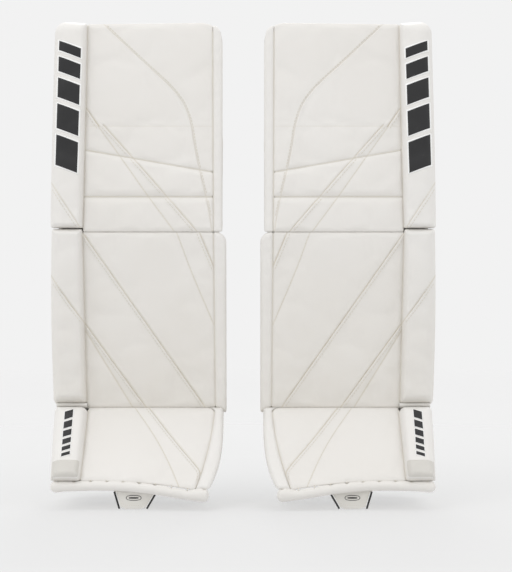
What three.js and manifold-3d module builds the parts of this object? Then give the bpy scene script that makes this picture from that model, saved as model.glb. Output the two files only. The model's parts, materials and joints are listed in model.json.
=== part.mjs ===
// A pair of ice hockey goalie leg pads, standing upright side by side, in millimetres.
// +Z is up, the strike face looks along -Y, and the wearer's left pad is on the +X side.
//
// Each pad bends at two breaks, at the knee and at the ankle, so it is built from three
// segments: thigh, shin and boot. A segment has its own frame: x runs outward from the plane
// midway between the two pads, y runs back from the front of the face, and z runs up the face
// from the segment's lower break. The right pad is the left one mirrored.
import * as THREE from "three";
import Module from "manifold-3d";
import { mergeVertices } from "three/addons/utils/BufferGeometryUtils.js";

const wasm = await Module();
wasm.setup();

// ---------- driving dimensions ----------

// Side view of the face line, from the top of the thigh rise down to the toe.
const TOP = { y: 14, z: 759 };
const KNEE = { y: 0, z: 430 };
const ANKLE = { y: 30, z: 152 };
const TOE = { y: -72, z: 36 };

// Widths, as distances from the plane midway between the pads.
const INNER_EDGE = 27;
const FACE_INNER = 45;
const FACE_OUTER = 248.5;
const OUTER_EDGE = 302;
const CASING_INNER = 31;
const CASING_OUTER = 294;

// Depths behind the front of the face.
const ROLL_FRONT = -20;
const INNER_ROLL_FRONT = -4;
const FACE_BACK = 13.5;
const CORE_FRONT = 14.5;
const CORE_BACK = 52;
const CASING_BACK = 56;
const CASING_WALL = 3;

// Gaps: between touching pieces, between face pieces, and either side of a break.
const GAP = 0.6;
const SEAM = 1.4;
const BREAK = 1.2;

// Flex of the two breaks, in degrees either way from rest.
const KNEE_BACKWARD = 15;
const ANKLE_FLEX = 8;

// Wraps behind the leg.
const WING_THICKNESS = 14;
const INNER_WING_THICKNESS = 12;
const WING_PIVOT_X = 248;
const WING_PIVOT_Y = CASING_BACK + GAP + WING_THICKNESS / 2;
const CALF_DEPTH = 156;
const KNEE_DEPTH = 140;
const EDGE_WIDTH = 26;
const EDGE_BACK = 108;
const STRAP_THICKNESS = 2.5;

// Front and back of the tab below the toe welt.
const TAB_FRONT = -56;
const TAB_BACK = -50.5;

// ---------- materials ----------

const finish = (color, roughness, metalness = 0) =>
  new THREE.MeshStandardMaterial({ color, roughness, metalness });
const MATERIALS = {
  skin: finish(0xe9e6e1, 0.5),
  foam: finish(0xd9d6c8, 0.95),
  casing: finish(0xdedbd5, 0.7),
  lining: finish(0x3a3b3d, 0.9),
  edge: finish(0xe4e1dc, 0.35),
  webbing: finish(0x1f2022, 0.85),
  tab: finish(0xcfcbc2, 0.5),
  buckle: finish(0x2a2b2d, 0.4),
};

// ---------- geometry helpers ----------

const radians = THREE.MathUtils.degToRad;
const tangent = (degrees) => Math.tan(radians(degrees));
const tiltOf = (low, high) => -Math.atan2(high.y - low.y, high.z - low.z);
const lengthOf = (low, high) => Math.hypot(high.y - low.y, high.z - low.z);
const box = (x0, z0, x1, z1) => [[x0, z0], [x1, z0], [x1, z1], [x0, z1]];

// A plate whose front view is the outline of [x, z] points, with edges rounded front and back.
function slab(outline, front, back, round = 0, segments = 2) {
  const shape = new THREE.Shape(outline.map(([x, z]) => new THREE.Vector2(x, z)));
  const geometry = new THREE.ExtrudeGeometry(shape, {
    depth: back - front - 2 * round,
    bevelEnabled: round > 0,
    bevelThickness: round,
    bevelSize: round,
    bevelOffset: -round,
    bevelSegments: segments,
  });
  geometry.rotateX(Math.PI / 2);
  geometry.translate(0, back - round, 0);
  return geometry;
}

// A plate whose side view is the outline of [y, z] points, from x0 to x1.
function sidePlate(outline, x0, x1, round) {
  const geometry = slab(outline, -x1, -x0, round);
  geometry.rotateZ(Math.PI / 2);
  return geometry;
}

// A strip of the given thickness with round ends along a path seen from above, from z0 to z1.
function strip(points, thickness, z0, z1) {
  const path = points.filter((p, i) => i === 0 || p.distanceTo(points[i - 1]) > 0.01);
  const half = thickness / 2;
  const sides = [[], []];
  const last = path.length - 1;
  path.forEach((point, i) => {
    const before = path[Math.max(i - 1, 0)];
    const after = path[Math.min(i + 1, last)];
    const along = after.clone().sub(before).normalize();
    const across = new THREE.Vector2(-along.y, along.x).multiplyScalar(half);
    sides[0].push(point.clone().add(across));
    sides[1].push(point.clone().sub(across));
  });
  const cap = (centre, from) => [1, 2, 3].map((i) =>
    from.clone().rotateAround(centre, (-i * Math.PI) / 4));
  const outline = [
    ...sides[0],
    ...cap(path[last], sides[0][last]),
    ...sides[1].reverse(),
    ...cap(path[0], sides[1][last]),
  ];
  const shape = new THREE.Shape(outline);
  const geometry = new THREE.ExtrudeGeometry(shape, { depth: z1 - z0, bevelEnabled: false });
  geometry.translate(0, 0, z0);
  return geometry;
}

// The points of a path that starts at (x, y), goes back, turns through a quarter circle to
// face the other side of the leg, and ends at endX. turn is +1 if it turns towards smaller x.
function hook(x, y, depth, radius, endX, turn) {
  const path = new THREE.Path();
  path.moveTo(x, y);
  if (depth - radius > y) path.lineTo(x, depth - radius);
  const centreX = x - turn * radius;
  const start = turn > 0 ? 0 : Math.PI;
  path.absarc(centreX, depth - radius, radius, start, Math.PI / 2, turn < 0);
  path.lineTo(endX, depth);
  return path.getPoints(5);
}

// Moves every side of a convex outline inwards by a distance.
function inset(outline, distance) {
  const n = outline.length;
  return outline.map((point, i) => {
    const [a, b, c] = [outline[(i + n - 1) % n], point, outline[(i + 1) % n]];
    const into = (p, q) => {
      const length = Math.hypot(q[0] - p[0], q[1] - p[1]);
      return [-(q[1] - p[1]) / length, (q[0] - p[0]) / length];
    };
    const [first, second] = [into(a, b), into(b, c)];
    const scale = distance / (1 + first[0] * second[0] + first[1] * second[1]);
    return [b[0] + (first[0] + second[0]) * scale, b[1] + (first[1] + second[1]) * scale];
  });
}

function toSolid(geometry) {
  const bare = new THREE.BufferGeometry();
  bare.setAttribute("position", geometry.attributes.position);
  const merged = mergeVertices(bare, 1e-3);
  return new wasm.Manifold(new wasm.Mesh({
    numProp: 3,
    vertProperties: merged.attributes.position.array,
    triVerts: new Uint32Array(merged.index.array),
  }));
}

function toGeometry(solid) {
  const mesh = solid.getMesh();
  const geometry = new THREE.BufferGeometry();
  geometry.setAttribute("position", new THREE.BufferAttribute(mesh.vertProperties, 3));
  geometry.setIndex(new THREE.BufferAttribute(mesh.triVerts, 1));
  return geometry;
}

// An open-fronted tray around a core: the sewn casing behind and round the foam.
function tray(outline) {
  const outside = toSolid(slab(outline, CORE_FRONT, CASING_BACK));
  const hollow = toSolid(slab(inset(outline, CASING_WALL), 0, CASING_BACK - CASING_WALL));
  return toGeometry(outside.subtract(hollow));
}

// Tips the ends of a segment's piece to the planes of its breaks, so that neighbouring
// segments clear each other through the whole flex. Each end has the slope of its plane in
// front of the face line and behind it, and the slopes blend along the segment.
function tipEnds(geometry, length, low, high) {
  const position = geometry.attributes.position;
  const rise = (end, y) => y * (y < 0 ? end.front : end.back);
  for (let i = 0; i < position.count; i++) {
    const [y, z] = [position.getY(i), position.getZ(i)];
    const share = THREE.MathUtils.clamp(z / length, 0, 1);
    position.setZ(i, z + (1 - share) * rise(low, y) + share * rise(high, y));
  }
  return geometry;
}

// ---------- the three segments ----------

const KNEE_BEND = THREE.MathUtils.radToDeg(tiltOf(ANKLE, KNEE) - tiltOf(KNEE, TOP));
const ANKLE_BEND = THREE.MathUtils.radToDeg(tiltOf(ANKLE, KNEE) - tiltOf(TOE, ANKLE));
const KNEE_SLOPE = tangent((KNEE_BEND + KNEE_BACKWARD) / 2);
const ANKLE_FRONT_SLOPE = tangent((ANKLE_BEND + ANKLE_FLEX) / 2);
const ANKLE_BACK_SLOPE = tangent((ANKLE_BEND - ANKLE_FLEX) / 2);
const FLAT_END = { front: 0, back: 0 };
// The boot's underside is level with the ground.
const SOLE_SLOPE = Math.tan(-tiltOf(TOE, ANKLE));

const SEGMENTS = {
  thigh: {
    low: KNEE, high: TOP,
    ends: [{ front: 0, back: KNEE_SLOPE }, FLAT_END],
  },
  shin: {
    low: ANKLE, high: KNEE,
    ends: [
      { front: -ANKLE_FRONT_SLOPE, back: -ANKLE_BACK_SLOPE },
      { front: 0, back: -KNEE_SLOPE },
    ],
  },
  boot: {
    low: TOE, high: ANKLE,
    ends: [
      { front: 0.2, back: SOLE_SLOPE },
      { front: ANKLE_FRONT_SLOPE, back: ANKLE_BACK_SLOPE },
    ],
  },
};

function segmentFrame(segment) {
  const group = new THREE.Group();
  group.position.set(0, segment.low.y, segment.low.z);
  group.rotation.x = tiltOf(segment.low, segment.high);
  return group;
}

// Adds a named mesh to a group.
function add(group, name, geometry, material) {
  const mesh = new THREE.Mesh(geometry, MATERIALS[material]);
  mesh.name = name;
  group.add(mesh);
}

// Adds pieces that follow the segment's ends.
function addFitted(group, segment, side, pieces) {
  const length = lengthOf(segment.low, segment.high);
  for (const [name, geometry, material] of pieces)
    add(group, `${side}_${name}`, tipEnds(geometry, length, ...segment.ends), material);
}

function thighSegment(side) {
  const segment = SEGMENTS.thigh;
  const top = lengthOf(KNEE, TOP);
  const casing = [
    [CASING_INNER + 4, BREAK], [CASING_OUTER, BREAK], [CASING_OUTER, top - 18],
    [CASING_OUTER - 10, top - 8], [72, top - 8], [CASING_INNER + 9, top - 34],
  ];
  // Seams between the face pieces, as [height at the inner edge, height at the outer edge].
  const rollSeam = 55;
  const panelSeam = [94, 129];
  const group = segmentFrame(segment);
  addFitted(group, segment, side, [
    ["thigh_core", slab(inset(casing, CASING_WALL + GAP), CORE_FRONT, CORE_BACK), "foam"],
    ["thigh_casing", tray(casing), "casing"],
    ["thigh_panel", slab([
      [FACE_INNER, panelSeam[0] + SEAM], [FACE_OUTER - SEAM, panelSeam[1] + SEAM],
      [FACE_OUTER - SEAM, top - 3], [64, top], [FACE_INNER, top - 10],
    ], 0, FACE_BACK, 4), "skin"],
    ["knee_roll_upper", slab([
      [FACE_INNER, rollSeam + SEAM], [FACE_OUTER - SEAM, rollSeam + SEAM],
      [FACE_OUTER - SEAM, panelSeam[1]], [FACE_INNER, panelSeam[0]],
    ], -2, FACE_BACK, 5), "skin"],
    ["knee_roll_lower", slab(
      box(FACE_INNER, BREAK, FACE_OUTER - SEAM, rollSeam), -2, FACE_BACK, 5), "skin"],
    ["outer_roll_thigh", slab([
      [FACE_OUTER, 5 + BREAK], [OUTER_EDGE - 1, 5 + BREAK], [OUTER_EDGE - 3, top - 19],
      [OUTER_EDGE - 12, top + 2], [FACE_OUTER + 6, top + 3], [FACE_OUTER - 1, top - 7],
    ], ROLL_FRONT, FACE_BACK, 12, 3), "skin"],
    ["inner_roll_thigh", slab([
      [33, BREAK], [FACE_INNER - SEAM, BREAK], [FACE_INNER - SEAM, top - 12],
      [38, top - 21], [34, top - 38],
    ], INNER_ROLL_FRONT, FACE_BACK, 4), "skin"],
  ]);
  // The landing block that the inside of the knee rests on.
  add(group, `${side}_knee_block`, sidePlate(
    [[57, 12], [124, 18], [132, 30], [132, 104], [120, 118], [57, 118]],
    CASING_INNER + 9, 99, 6), "lining");
  return group;
}

function shinSegment(side) {
  const segment = SEGMENTS.shin;
  const top = lengthOf(ANKLE, KNEE);
  const casing = box(CASING_INNER, BREAK, CASING_OUTER, top - BREAK);
  const group = segmentFrame(segment);
  addFitted(group, segment, side, [
    ["shin_core", slab(inset(casing, CASING_WALL + GAP), CORE_FRONT, CORE_BACK), "foam"],
    ["shin_casing", tray(casing), "casing"],
    ["shin_panel", slab(
      box(FACE_INNER, BREAK, FACE_OUTER - SEAM, top - BREAK), 0, FACE_BACK, 4), "skin"],
    ["outer_roll_shin", slab(
      box(FACE_OUTER, BREAK, OUTER_EDGE, top + 5 - BREAK), ROLL_FRONT, FACE_BACK, 12, 3), "skin"],
    ["inner_roll_shin", slab(
      box(INNER_EDGE, BREAK, FACE_INNER - SEAM, top - BREAK),
      INNER_ROLL_FRONT, FACE_BACK, 6), "skin"],
  ]);
  // The firm inner edge that slides on the ice in the butterfly.
  add(group, `${side}_slide_edge`, sidePlate(
    [[57, -2], [EDGE_BACK, 4], [EDGE_BACK, 224], [57, 256]],
    CASING_INNER - 1, CASING_INNER - 1 + EDGE_WIDTH, 5), "edge");
  return group;
}

function bootSegment(side) {
  const segment = SEGMENTS.boot;
  const top = lengthOf(TOE, ANKLE);
  // The inner edge of the boot curves outward towards the toe.
  const innerCurve = [[47, top - BREAK], [51.5, 100], [60, 50], [70, 12], [75, -3]];
  const outerCurve = [[32, top - BREAK], [32, 100], [36.5, 50], [46.5, 12], [52.5, -3]];
  const casing = [
    [61, BREAK], [CASING_OUTER - 6, BREAK], [CASING_OUTER - 2, top - BREAK],
    [CASING_INNER + 5, top - BREAK], [38, 90], [46, 40],
  ];
  const group = segmentFrame(segment);
  addFitted(group, segment, side, [
    ["boot_core", slab(inset(casing, CASING_WALL + GAP), CORE_FRONT, CORE_BACK), "foam"],
    ["boot_casing", tray(casing), "casing"],
    ["boot_panel", slab([
      ...innerCurve, [107, 5], [148, 9], [199, 13], [250, 13], [FACE_OUTER - 4, 60],
      [FACE_OUTER - 4, top - BREAK],
    ], 0, FACE_BACK, 4), "skin"],
    ["outer_roll_boot", slab([
      [252, 13], [296, 12], [298, 50], [298, top - BREAK], [FACE_OUTER - 2, top - BREAK],
      [FACE_OUTER - 2, 60],
    ], ROLL_FRONT, FACE_BACK, 12, 3), "skin"],
    ["inner_roll_boot", slab([
      ...outerCurve, ...innerCurve.map(([x, z]) => [x - SEAM, z]).reverse(),
    ], INNER_ROLL_FRONT - 2, FACE_BACK, 6), "skin"],
  ]);
  add(group, `${side}_toe_welt`, weltGeometry(), "skin");
  return group;
}

// The stuffed welt along the boot's lower edge, which drops at its inner end.
function weltGeometry() {
  const depth = 5;
  const centreline = [
    [297, 4], [270, 5], [220, 6.5], [180, 5], [145, 0.5], [107, -6.5], [76, -13], [52, -14.5],
  ];
  const curve = new THREE.CatmullRomCurve3(
    centreline.map(([x, z]) => new THREE.Vector3(x, depth, z)));
  const section = new THREE.Shape();
  section.absarc(0, 0, 8, 0, 2 * Math.PI);
  return new THREE.ExtrudeGeometry(section, {
    steps: 14, curveSegments: 5, extrudePath: curve, bevelEnabled: false,
  });
}

// Padded wraps that swing open to let the leg in, with the straps that close them.
function kneeWrap(side) {
  const group = segmentFrame(SEGMENTS.thigh);
  const radius = 36;
  const wing = hook(WING_PIVOT_X, WING_PIVOT_Y, KNEE_DEPTH, radius, 190, 1);
  add(group, `${side}_knee_wing`, strip(wing, WING_THICKNESS, 18, 108), "lining");
  const out = WING_THICKNESS / 2 + GAP + STRAP_THICKNESS / 2;
  const strap = [
    ...hook(WING_PIVOT_X + out, 84, KNEE_DEPTH + out, radius + out, 132, 1),
    new THREE.Vector2(112, 143),
    new THREE.Vector2(92, 137.5),
    new THREE.Vector2(72, 136),
    new THREE.Vector2(46, 136),
  ];
  add(group, `${side}_knee_strap`, strip(strap, STRAP_THICKNESS, 44, 82), "webbing");
  return group;
}

function calfWraps(side) {
  const group = segmentFrame(SEGMENTS.shin);
  const radius = 44;
  const outer = hook(WING_PIVOT_X, WING_PIVOT_Y, CALF_DEPTH, radius, 156, 1);
  add(group, `${side}_outer_calf_wing`, strip(outer, WING_THICKNESS, 14, 205), "lining");
  const pivotX = CASING_INNER - 1 + EDGE_WIDTH / 2;
  const pivotY = EDGE_BACK + GAP + INNER_WING_THICKNESS / 2;
  const inner = hook(pivotX, pivotY, CALF_DEPTH, CALF_DEPTH - pivotY, 134, -1);
  add(group, `${side}_inner_calf_wing`, strip(inner, INNER_WING_THICKNESS, 14, 205), "lining");
  const out = WING_THICKNESS / 2 + GAP + STRAP_THICKNESS / 2;
  const strap = hook(WING_PIVOT_X + out, 84, CALF_DEPTH + out, radius + out, 84, 1);
  add(group, `${side}_calf_strap`, strip(strap, STRAP_THICKNESS, 92, 142), "webbing");
  return group;
}

// What stands under and behind the boot, modelled level with the ground.
function bootUnderside(side) {
  const group = new THREE.Group();
  const wallProfile = [
    [24, 22], [126, 22], [132, 66], [108, 118], [76, 115], [9, 39], [9, 30],
  ];
  const [wallInner, wallOuter, wallWidth] = [58, 284, 22];
  add(group, `${side}_boot_wall_outer`,
    sidePlate(wallProfile, wallOuter - wallWidth, wallOuter, 5), "casing");
  add(group, `${side}_boot_wall_inner`,
    sidePlate(wallProfile, wallInner, wallInner + wallWidth, 5), "edge");

  const out = GAP + STRAP_THICKNESS / 2;
  const [inner, outer] = [wallInner - out, wallOuter + out];
  const [middle, back] = [(inner + outer) / 2, 170];
  const strap = [
    ...hook(outer, 84, back, 40, middle, 1).slice(0, -1),
    ...hook(inner, 84, back, 40, middle, -1).slice(0, -1).reverse(),
  ];
  add(group, `${side}_boot_strap`, strip(strap, STRAP_THICKNESS, 64, 89), "webbing");

  const lever = [new THREE.Vector2(238, 175), new THREE.Vector2(202, 175)];
  add(group, `${side}_buckle_lever`, strip(lever, 5, 62, 91), "buckle");

  add(group, `${side}_toe_tab`, slab(
    [[147, 0], [193, 0], [200.5, 27], [198, 35], [135, 35], [132, 27]], TAB_FRONT, TAB_BACK),
    "tab");
  return group;
}

// ---------- the pair ----------

function pad(side, sign) {
  const group = new THREE.Group();
  group.add(thighSegment(side), kneeWrap(side), shinSegment(side), calfWraps(side));
  group.add(bootSegment(side), bootUnderside(side));
  group.scale.x = sign;
  return group;
}

const pair = new THREE.Group();
pair.add(pad("right", -1), pad("left", 1));

// The origin is on the ground, at the middle of the pair's width and depth.
const extent = new THREE.Box3().setFromObject(pair, true);
for (const one of pair.children) one.position.y -= (extent.min.y + extent.max.y) / 2;

export default pair;
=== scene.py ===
"""The looks of a pair of goalie leg pads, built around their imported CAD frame.

Each pad has three segments: thigh, shin and boot. A segment's pieces are drawn in its own
frame, in millimetres: x runs outward from the plane midway between the pads, y runs back
from the front of the face, and z runs up the face from the segment's lower break. Every
piece is drawn once, for the left pad, and mirrored for the right one.
"""
import json
import math

import bmesh
import bpy
import numpy as np
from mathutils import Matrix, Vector


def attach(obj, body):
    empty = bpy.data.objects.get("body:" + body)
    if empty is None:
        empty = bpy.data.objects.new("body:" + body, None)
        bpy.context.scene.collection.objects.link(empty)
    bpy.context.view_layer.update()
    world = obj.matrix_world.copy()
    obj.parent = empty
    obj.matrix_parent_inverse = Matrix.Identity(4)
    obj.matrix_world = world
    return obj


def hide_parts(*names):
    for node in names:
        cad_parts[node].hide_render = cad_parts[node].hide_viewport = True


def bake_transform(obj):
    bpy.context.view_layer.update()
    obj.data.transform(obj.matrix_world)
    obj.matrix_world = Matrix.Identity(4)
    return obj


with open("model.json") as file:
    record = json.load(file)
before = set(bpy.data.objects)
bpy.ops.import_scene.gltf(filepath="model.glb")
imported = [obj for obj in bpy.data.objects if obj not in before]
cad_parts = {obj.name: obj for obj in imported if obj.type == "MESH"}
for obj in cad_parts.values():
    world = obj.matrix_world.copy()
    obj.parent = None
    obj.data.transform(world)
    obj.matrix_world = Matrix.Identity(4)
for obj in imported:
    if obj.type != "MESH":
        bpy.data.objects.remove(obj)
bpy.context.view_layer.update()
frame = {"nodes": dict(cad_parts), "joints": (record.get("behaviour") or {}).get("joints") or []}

MM = 0.001
SIDES = {"left": 1, "right": -1}
rng = np.random.default_rng(7)

# ---------- the segments' frames ----------

JOINTS = {j["name"]: j for j in frame["joints"]}
KNEE = Vector(JOINTS["left_knee_flex"]["pos_m"])
ANKLE = Vector(JOINTS["left_ankle_flex"]["pos_m"])
BOOT_REACH = Vector((0, 0.102, 0.116))
TOE = ANKLE - BOOT_REACH
THIGH_UP = -Vector(JOINTS["left_knee_wrap_swing"]["axis"])
SHIN_UP = Vector((0, KNEE.y - ANKLE.y, KNEE.z - ANKLE.z)).normalized()
BOOT_UP = (ANKLE - TOE).normalized()

# Slopes of the cuts at the breaks, which leave room for the joints' limits.
KNEE_BACKWARD = -math.radians(JOINTS["left_knee_flex"]["range_deg"][0])
ANKLE_FLEX = math.radians(JOINTS["left_ankle_flex"]["range_deg"][1])
KNEE_SLOPE = math.tan((THIGH_UP.angle(SHIN_UP) + KNEE_BACKWARD) / 2)
ANKLE_FRONT = math.tan((SHIN_UP.angle(BOOT_UP) + ANKLE_FLEX) / 2)
ANKLE_BACK = math.tan((SHIN_UP.angle(BOOT_UP) - ANKLE_FLEX) / 2)
SOLE_SLOPE = BOOT_UP.y / BOOT_UP.z


class Place:
    """A frame in the part's YZ plane. Its ends are cut to the slopes of its breaks, each
    given in front of the face line and behind it."""

    def __init__(self, low, up, length=1.0, ends=((0, 0), (0, 0))):
        self.low, self.up, self.length, self.ends = low, up.normalized(), length, ends

    def tip(self, points):
        p = np.array(points, float)
        share = np.clip(p[:, 2] / self.length, 0, 1)
        for (front, back), weight in zip(self.ends, (1 - share, share)):
            p[:, 2] += weight * p[:, 1] * np.where(p[:, 1] < 0, front, back)
        return p

    def world(self, points, side=1):
        p = np.asarray(points, float) * MM
        uy, uz = self.up.y, self.up.z
        return np.stack([
            side * p[:, 0],
            self.low.y + p[:, 1] * uz + p[:, 2] * uy,
            self.low.z - p[:, 1] * uy + p[:, 2] * uz,
        ], 1)


THIGH_TOP = 329.3
SHIN_TOP = (KNEE - ANKLE).yz.length / MM
BOOT_TOP = (ANKLE - TOE).yz.length / MM
THIGH = Place(KNEE, THIGH_UP, THIGH_TOP, ((0, KNEE_SLOPE), (0, 0)))
SHIN = Place(ANKLE, SHIN_UP, SHIN_TOP, ((-ANKLE_FRONT, -ANKLE_BACK), (0, -KNEE_SLOPE)))
BOOT = Place(TOE, BOOT_UP, BOOT_TOP, ((0.2, SOLE_SLOPE), (ANKLE_FRONT, ANKLE_BACK)))

# The same without cuts, for what doesn't reach the breaks, and the upright frame, whose z is
# the height above the ground.
KNEE_LEVEL, SHIN_LEVEL = Place(KNEE, THIGH_UP), Place(ANKLE, SHIN_UP)
LEVEL = Place(Vector((0, KNEE.y, 0)), Vector((0, 0, 1)))

# Sizes of a pad, in millimetres. A wrap has a depth behind the face and a corner radius, and
# its strap runs STRAP_OUT outside it.
ROLL_OUTER = 302.0
BREAK = 1.2
FACE_RIM, FACE_BACK = 1.6, 13.5
CASING_FRONT, CASING_BACK, LINING_BACK = 14.2, 53.4, 56.3
WING_X, WING_Y = 248.0, 63.6
KNEE_WRAP, CALF_WRAP = (140, 36), (156, 44)
STRAP_OUT, STRAP_START = 8.85, 84

# ---------- numbers on grids ----------


def bspline(table, a, b, wrap=False):
    """A smooth surface over a table of values, at rows a and columns b counted in cells."""
    rows, columns = table.shape
    i, j = np.floor(a).astype(int), np.floor(b).astype(int)

    def weights(f):
        return [
            (1 - f) ** 3 / 6, (3 * f ** 3 - 6 * f ** 2 + 4) / 6,
            (-3 * f ** 3 + 3 * f ** 2 + 3 * f + 1) / 6, f ** 3 / 6,
        ]

    total = np.zeros_like(a)
    for m, wm in enumerate(weights(a - i)):
        row = (i + m - 1) % rows if wrap else np.clip(i + m - 1, 0, rows - 1)
        for n, wn in enumerate(weights(b - j)):
            column = (j + n - 1) % columns if wrap else np.clip(j + n - 1, 0, columns - 1)
            total += wm * wn * table[row, column]
    return total


NOISE_CELLS, NOISE_SEEDS = (97, 89), 6
NOISE_TABLES = [rng.uniform(-1, 1, NOISE_CELLS) for _ in range(NOISE_SEEDS)]


def noise(x, z, size, seed=0):
    """Smooth noise of about -0.5 to 0.5, with bumps size across."""
    table = NOISE_TABLES[seed]
    return bspline(table, z / size + 13.7 * seed, x / size + 7.3 * seed, wrap=True)


def smooth_line(points, rounds=3):
    """Rounds off a line's corners and keeps its two ends."""
    p = np.array(points, float)
    for _ in range(rounds):
        cut = np.stack([0.75 * p[:-1] + 0.25 * p[1:], 0.25 * p[:-1] + 0.75 * p[1:]], 1)
        p = np.vstack([p[:1], cut.reshape(-1, p.shape[1])[1:-1], p[-1:]])
    return p


def unit(vectors):
    return vectors / np.maximum(np.linalg.norm(vectors, axis=-1, keepdims=True), 1e-9)


def distances(line):
    """How far each of a line's points is along it."""
    legs = np.linalg.norm(np.diff(line, axis=0), axis=1)
    return np.concatenate([[0], np.cumsum(legs)])


def read_along(values, total, at):
    """Rows of values given at the distances in total, read at others."""
    return np.stack([np.interp(at, total, column) for column in values.T], 1)


def resample(line, step, closed=False):
    """A line's points at even steps."""
    line = np.asarray(line, float)
    if closed:
        line = np.vstack([line, line[:1]])
    total = distances(line)
    count = max(2, round(total[-1] / step))
    at = np.linspace(0, total[-1], count + 1)[: count if closed else count + 1]
    return read_along(line, total, at)


def left_of(way):
    """The directions to the left of flat directions."""
    return np.stack([-way[:, 1], way[:, 0]], 1)


def out_of(loop):
    """The directions to the right of a closed line, which is outward if it runs
    anticlockwise."""
    return -left_of(unit(np.roll(loop, -1, 0) - np.roll(loop, 1, 0)))


def rim_of(number):
    """The numbers round the edge of a grid."""
    return [*number[:-1, 0], *number[-1, :-1], *number[:0:-1, -1], *number[0, :0:-1]]


def signed_distance(line, x, z):
    """Distance from each point to a line, positive on the line's left."""
    best = np.full(x.shape, 1e9)
    side = np.ones(x.shape)
    for (x0, z0), (x1, z1) in zip(line[:-1], line[1:]):
        ex, ez = x1 - x0, z1 - z0
        t = np.clip(((x - x0) * ex + (z - z0) * ez) / (ex * ex + ez * ez), 0, 1)
        dx, dz = x - x0 - t * ex, z - z0 - t * ez
        d = np.hypot(dx, dz)
        near = d < best
        best = np.where(near, d, best)
        side = np.where(near, np.sign(ex * dz - ez * dx), side)
    return best * np.where(side == 0, 1, side)


def smoothstep(t):
    t = np.clip(t, 0, 1)
    return t * t * (3 - 2 * t)


def arch(t):
    """A quarter ellipse: 0 at 0 with a steep start, 1 from 1 on."""
    return np.sqrt(np.maximum(1 - (1 - np.clip(t, 0, 1)) ** 2, 0))


# ---------- seams ----------


class Seam:
    """A line sewn into a stuffed piece, in its x and z.

    lap is a layer's edge, raised on the line's left. quilt is a line of stitches that
    dimples the foam. stitches are the distances, to the left, of its lines of thread.
    """

    def __init__(self, kind, points, height=1.0, stitches=(), tone=0.7, rounds=3):
        self.kind, self.height, self.stitches, self.tone = kind, height, stitches, tone
        self.line = smooth_line(points, rounds)

    def rise(self, x, z):
        d = signed_distance(self.line, x, z)
        if self.kind == "lap":
            layer = smoothstep((d + 0.6) / 1.3) * np.exp(-np.maximum(d - 1, 0) / 7)
            return 1.5 * self.height * (layer - 0.6 * np.exp(-((d + 1.3) / 1.0) ** 2))
        return -self.height * np.exp(-(np.abs(d) / 2.6) ** 1.3)

    def dirt(self, x, z):
        """How much painted tan shade the line's groove or lap edge gives the skin, from 0 to 1.
        """
        d = signed_distance(self.line, x, z)
        centre, width = (-0.9, 0.9) if self.kind == "lap" else (0, 0.9)
        return self.tone * np.exp(-((d - centre) / width) ** 2)


THIGH_SEAMS = [
    Seam("lap", [(229, 336), (160, 270.5), (103, 219), (84, 180), (77, 130), (66, 82),
                 (56, 40), (49, -4)], 0.9, (-3.2,), 0.45),
    Seam("lap", [(252, 200), (229, 167)], 1.5, (3.6,), 0.9),
    Seam("lap", [(221, 168), (176, 118), (120, 54), (70, -4)], 1.4, (3.6,), 0.7),
    Seam("quilt", [(229, 167), (196, 122), (150, 56), (105, -4)], 0.7, (0,), 0.5),
    Seam("quilt", [(252, 167), (42, 167)], 0.3, (), 0.2),
]
SHIN_SEAMS = [
    Seam("lap", [(72, 284), (59, 252), (43, 214)], 1.4, (3.6,), 0.8),
    Seam("quilt", [(107, 284), (100, 266), (83, 218), (43, 124)], 0.7, (0,), 0.5),
    Seam("lap", [(256, 281), (71, 13), (60, -3)], 1.5, (3.6,), 0.7),
    Seam("lap", [(308, 217), (270, 158), (251, 134), (166, 13), (153, -3)], 1.5, (3.6,),
         0.75),
    Seam("quilt", [(252, 126), (184, 13), (174, -3)], 0.8, (0,), 0.6),
]
BOOT_SEAMS = [
    Seam("lap", [(154, 158), (112, 92), (72, 36), (66, 25), (68, 10)], 1.5, (3.6,), 0.8),
    Seam("quilt", [(175, 158), (138, 96), (113, 40), (95, -10)], 0.7, (0,), 0.5),
]
ROLL_SEAMS = [Seam("lap", [(306, 82), (262, 14), (248, -6)], 1.2, (3.6,), 0.6)]

# ---------- padded pieces drawn on a grid ----------

# The step along an outline and along the cords and beads that follow one.
OUTLINE_STEP = 4.0


def limits(edges, t):
    """Two opposite edges at t along them, from 0 to 1. Each is a number or a function."""
    return [edge(t) if callable(edge) else np.full(np.shape(t), float(edge))
            for edge in edges]


def grid_lines(span, first, last, cell):
    """Positions from 0 to 1 across a span, four to a cell and closer together at its rims."""
    scale = min(1, 0.9 * span / (first + last))
    first, last = first * scale, last * scale
    curve = 1 - np.cos(np.linspace(0, math.pi / 2, 13))
    cells = max(1, round((span - first - last) / cell))
    middle = np.linspace(first, span - last, 4 * cells + 1)
    return np.concatenate([first * curve[:-1], middle, span - last * curve[-2::-1]]) / span


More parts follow.
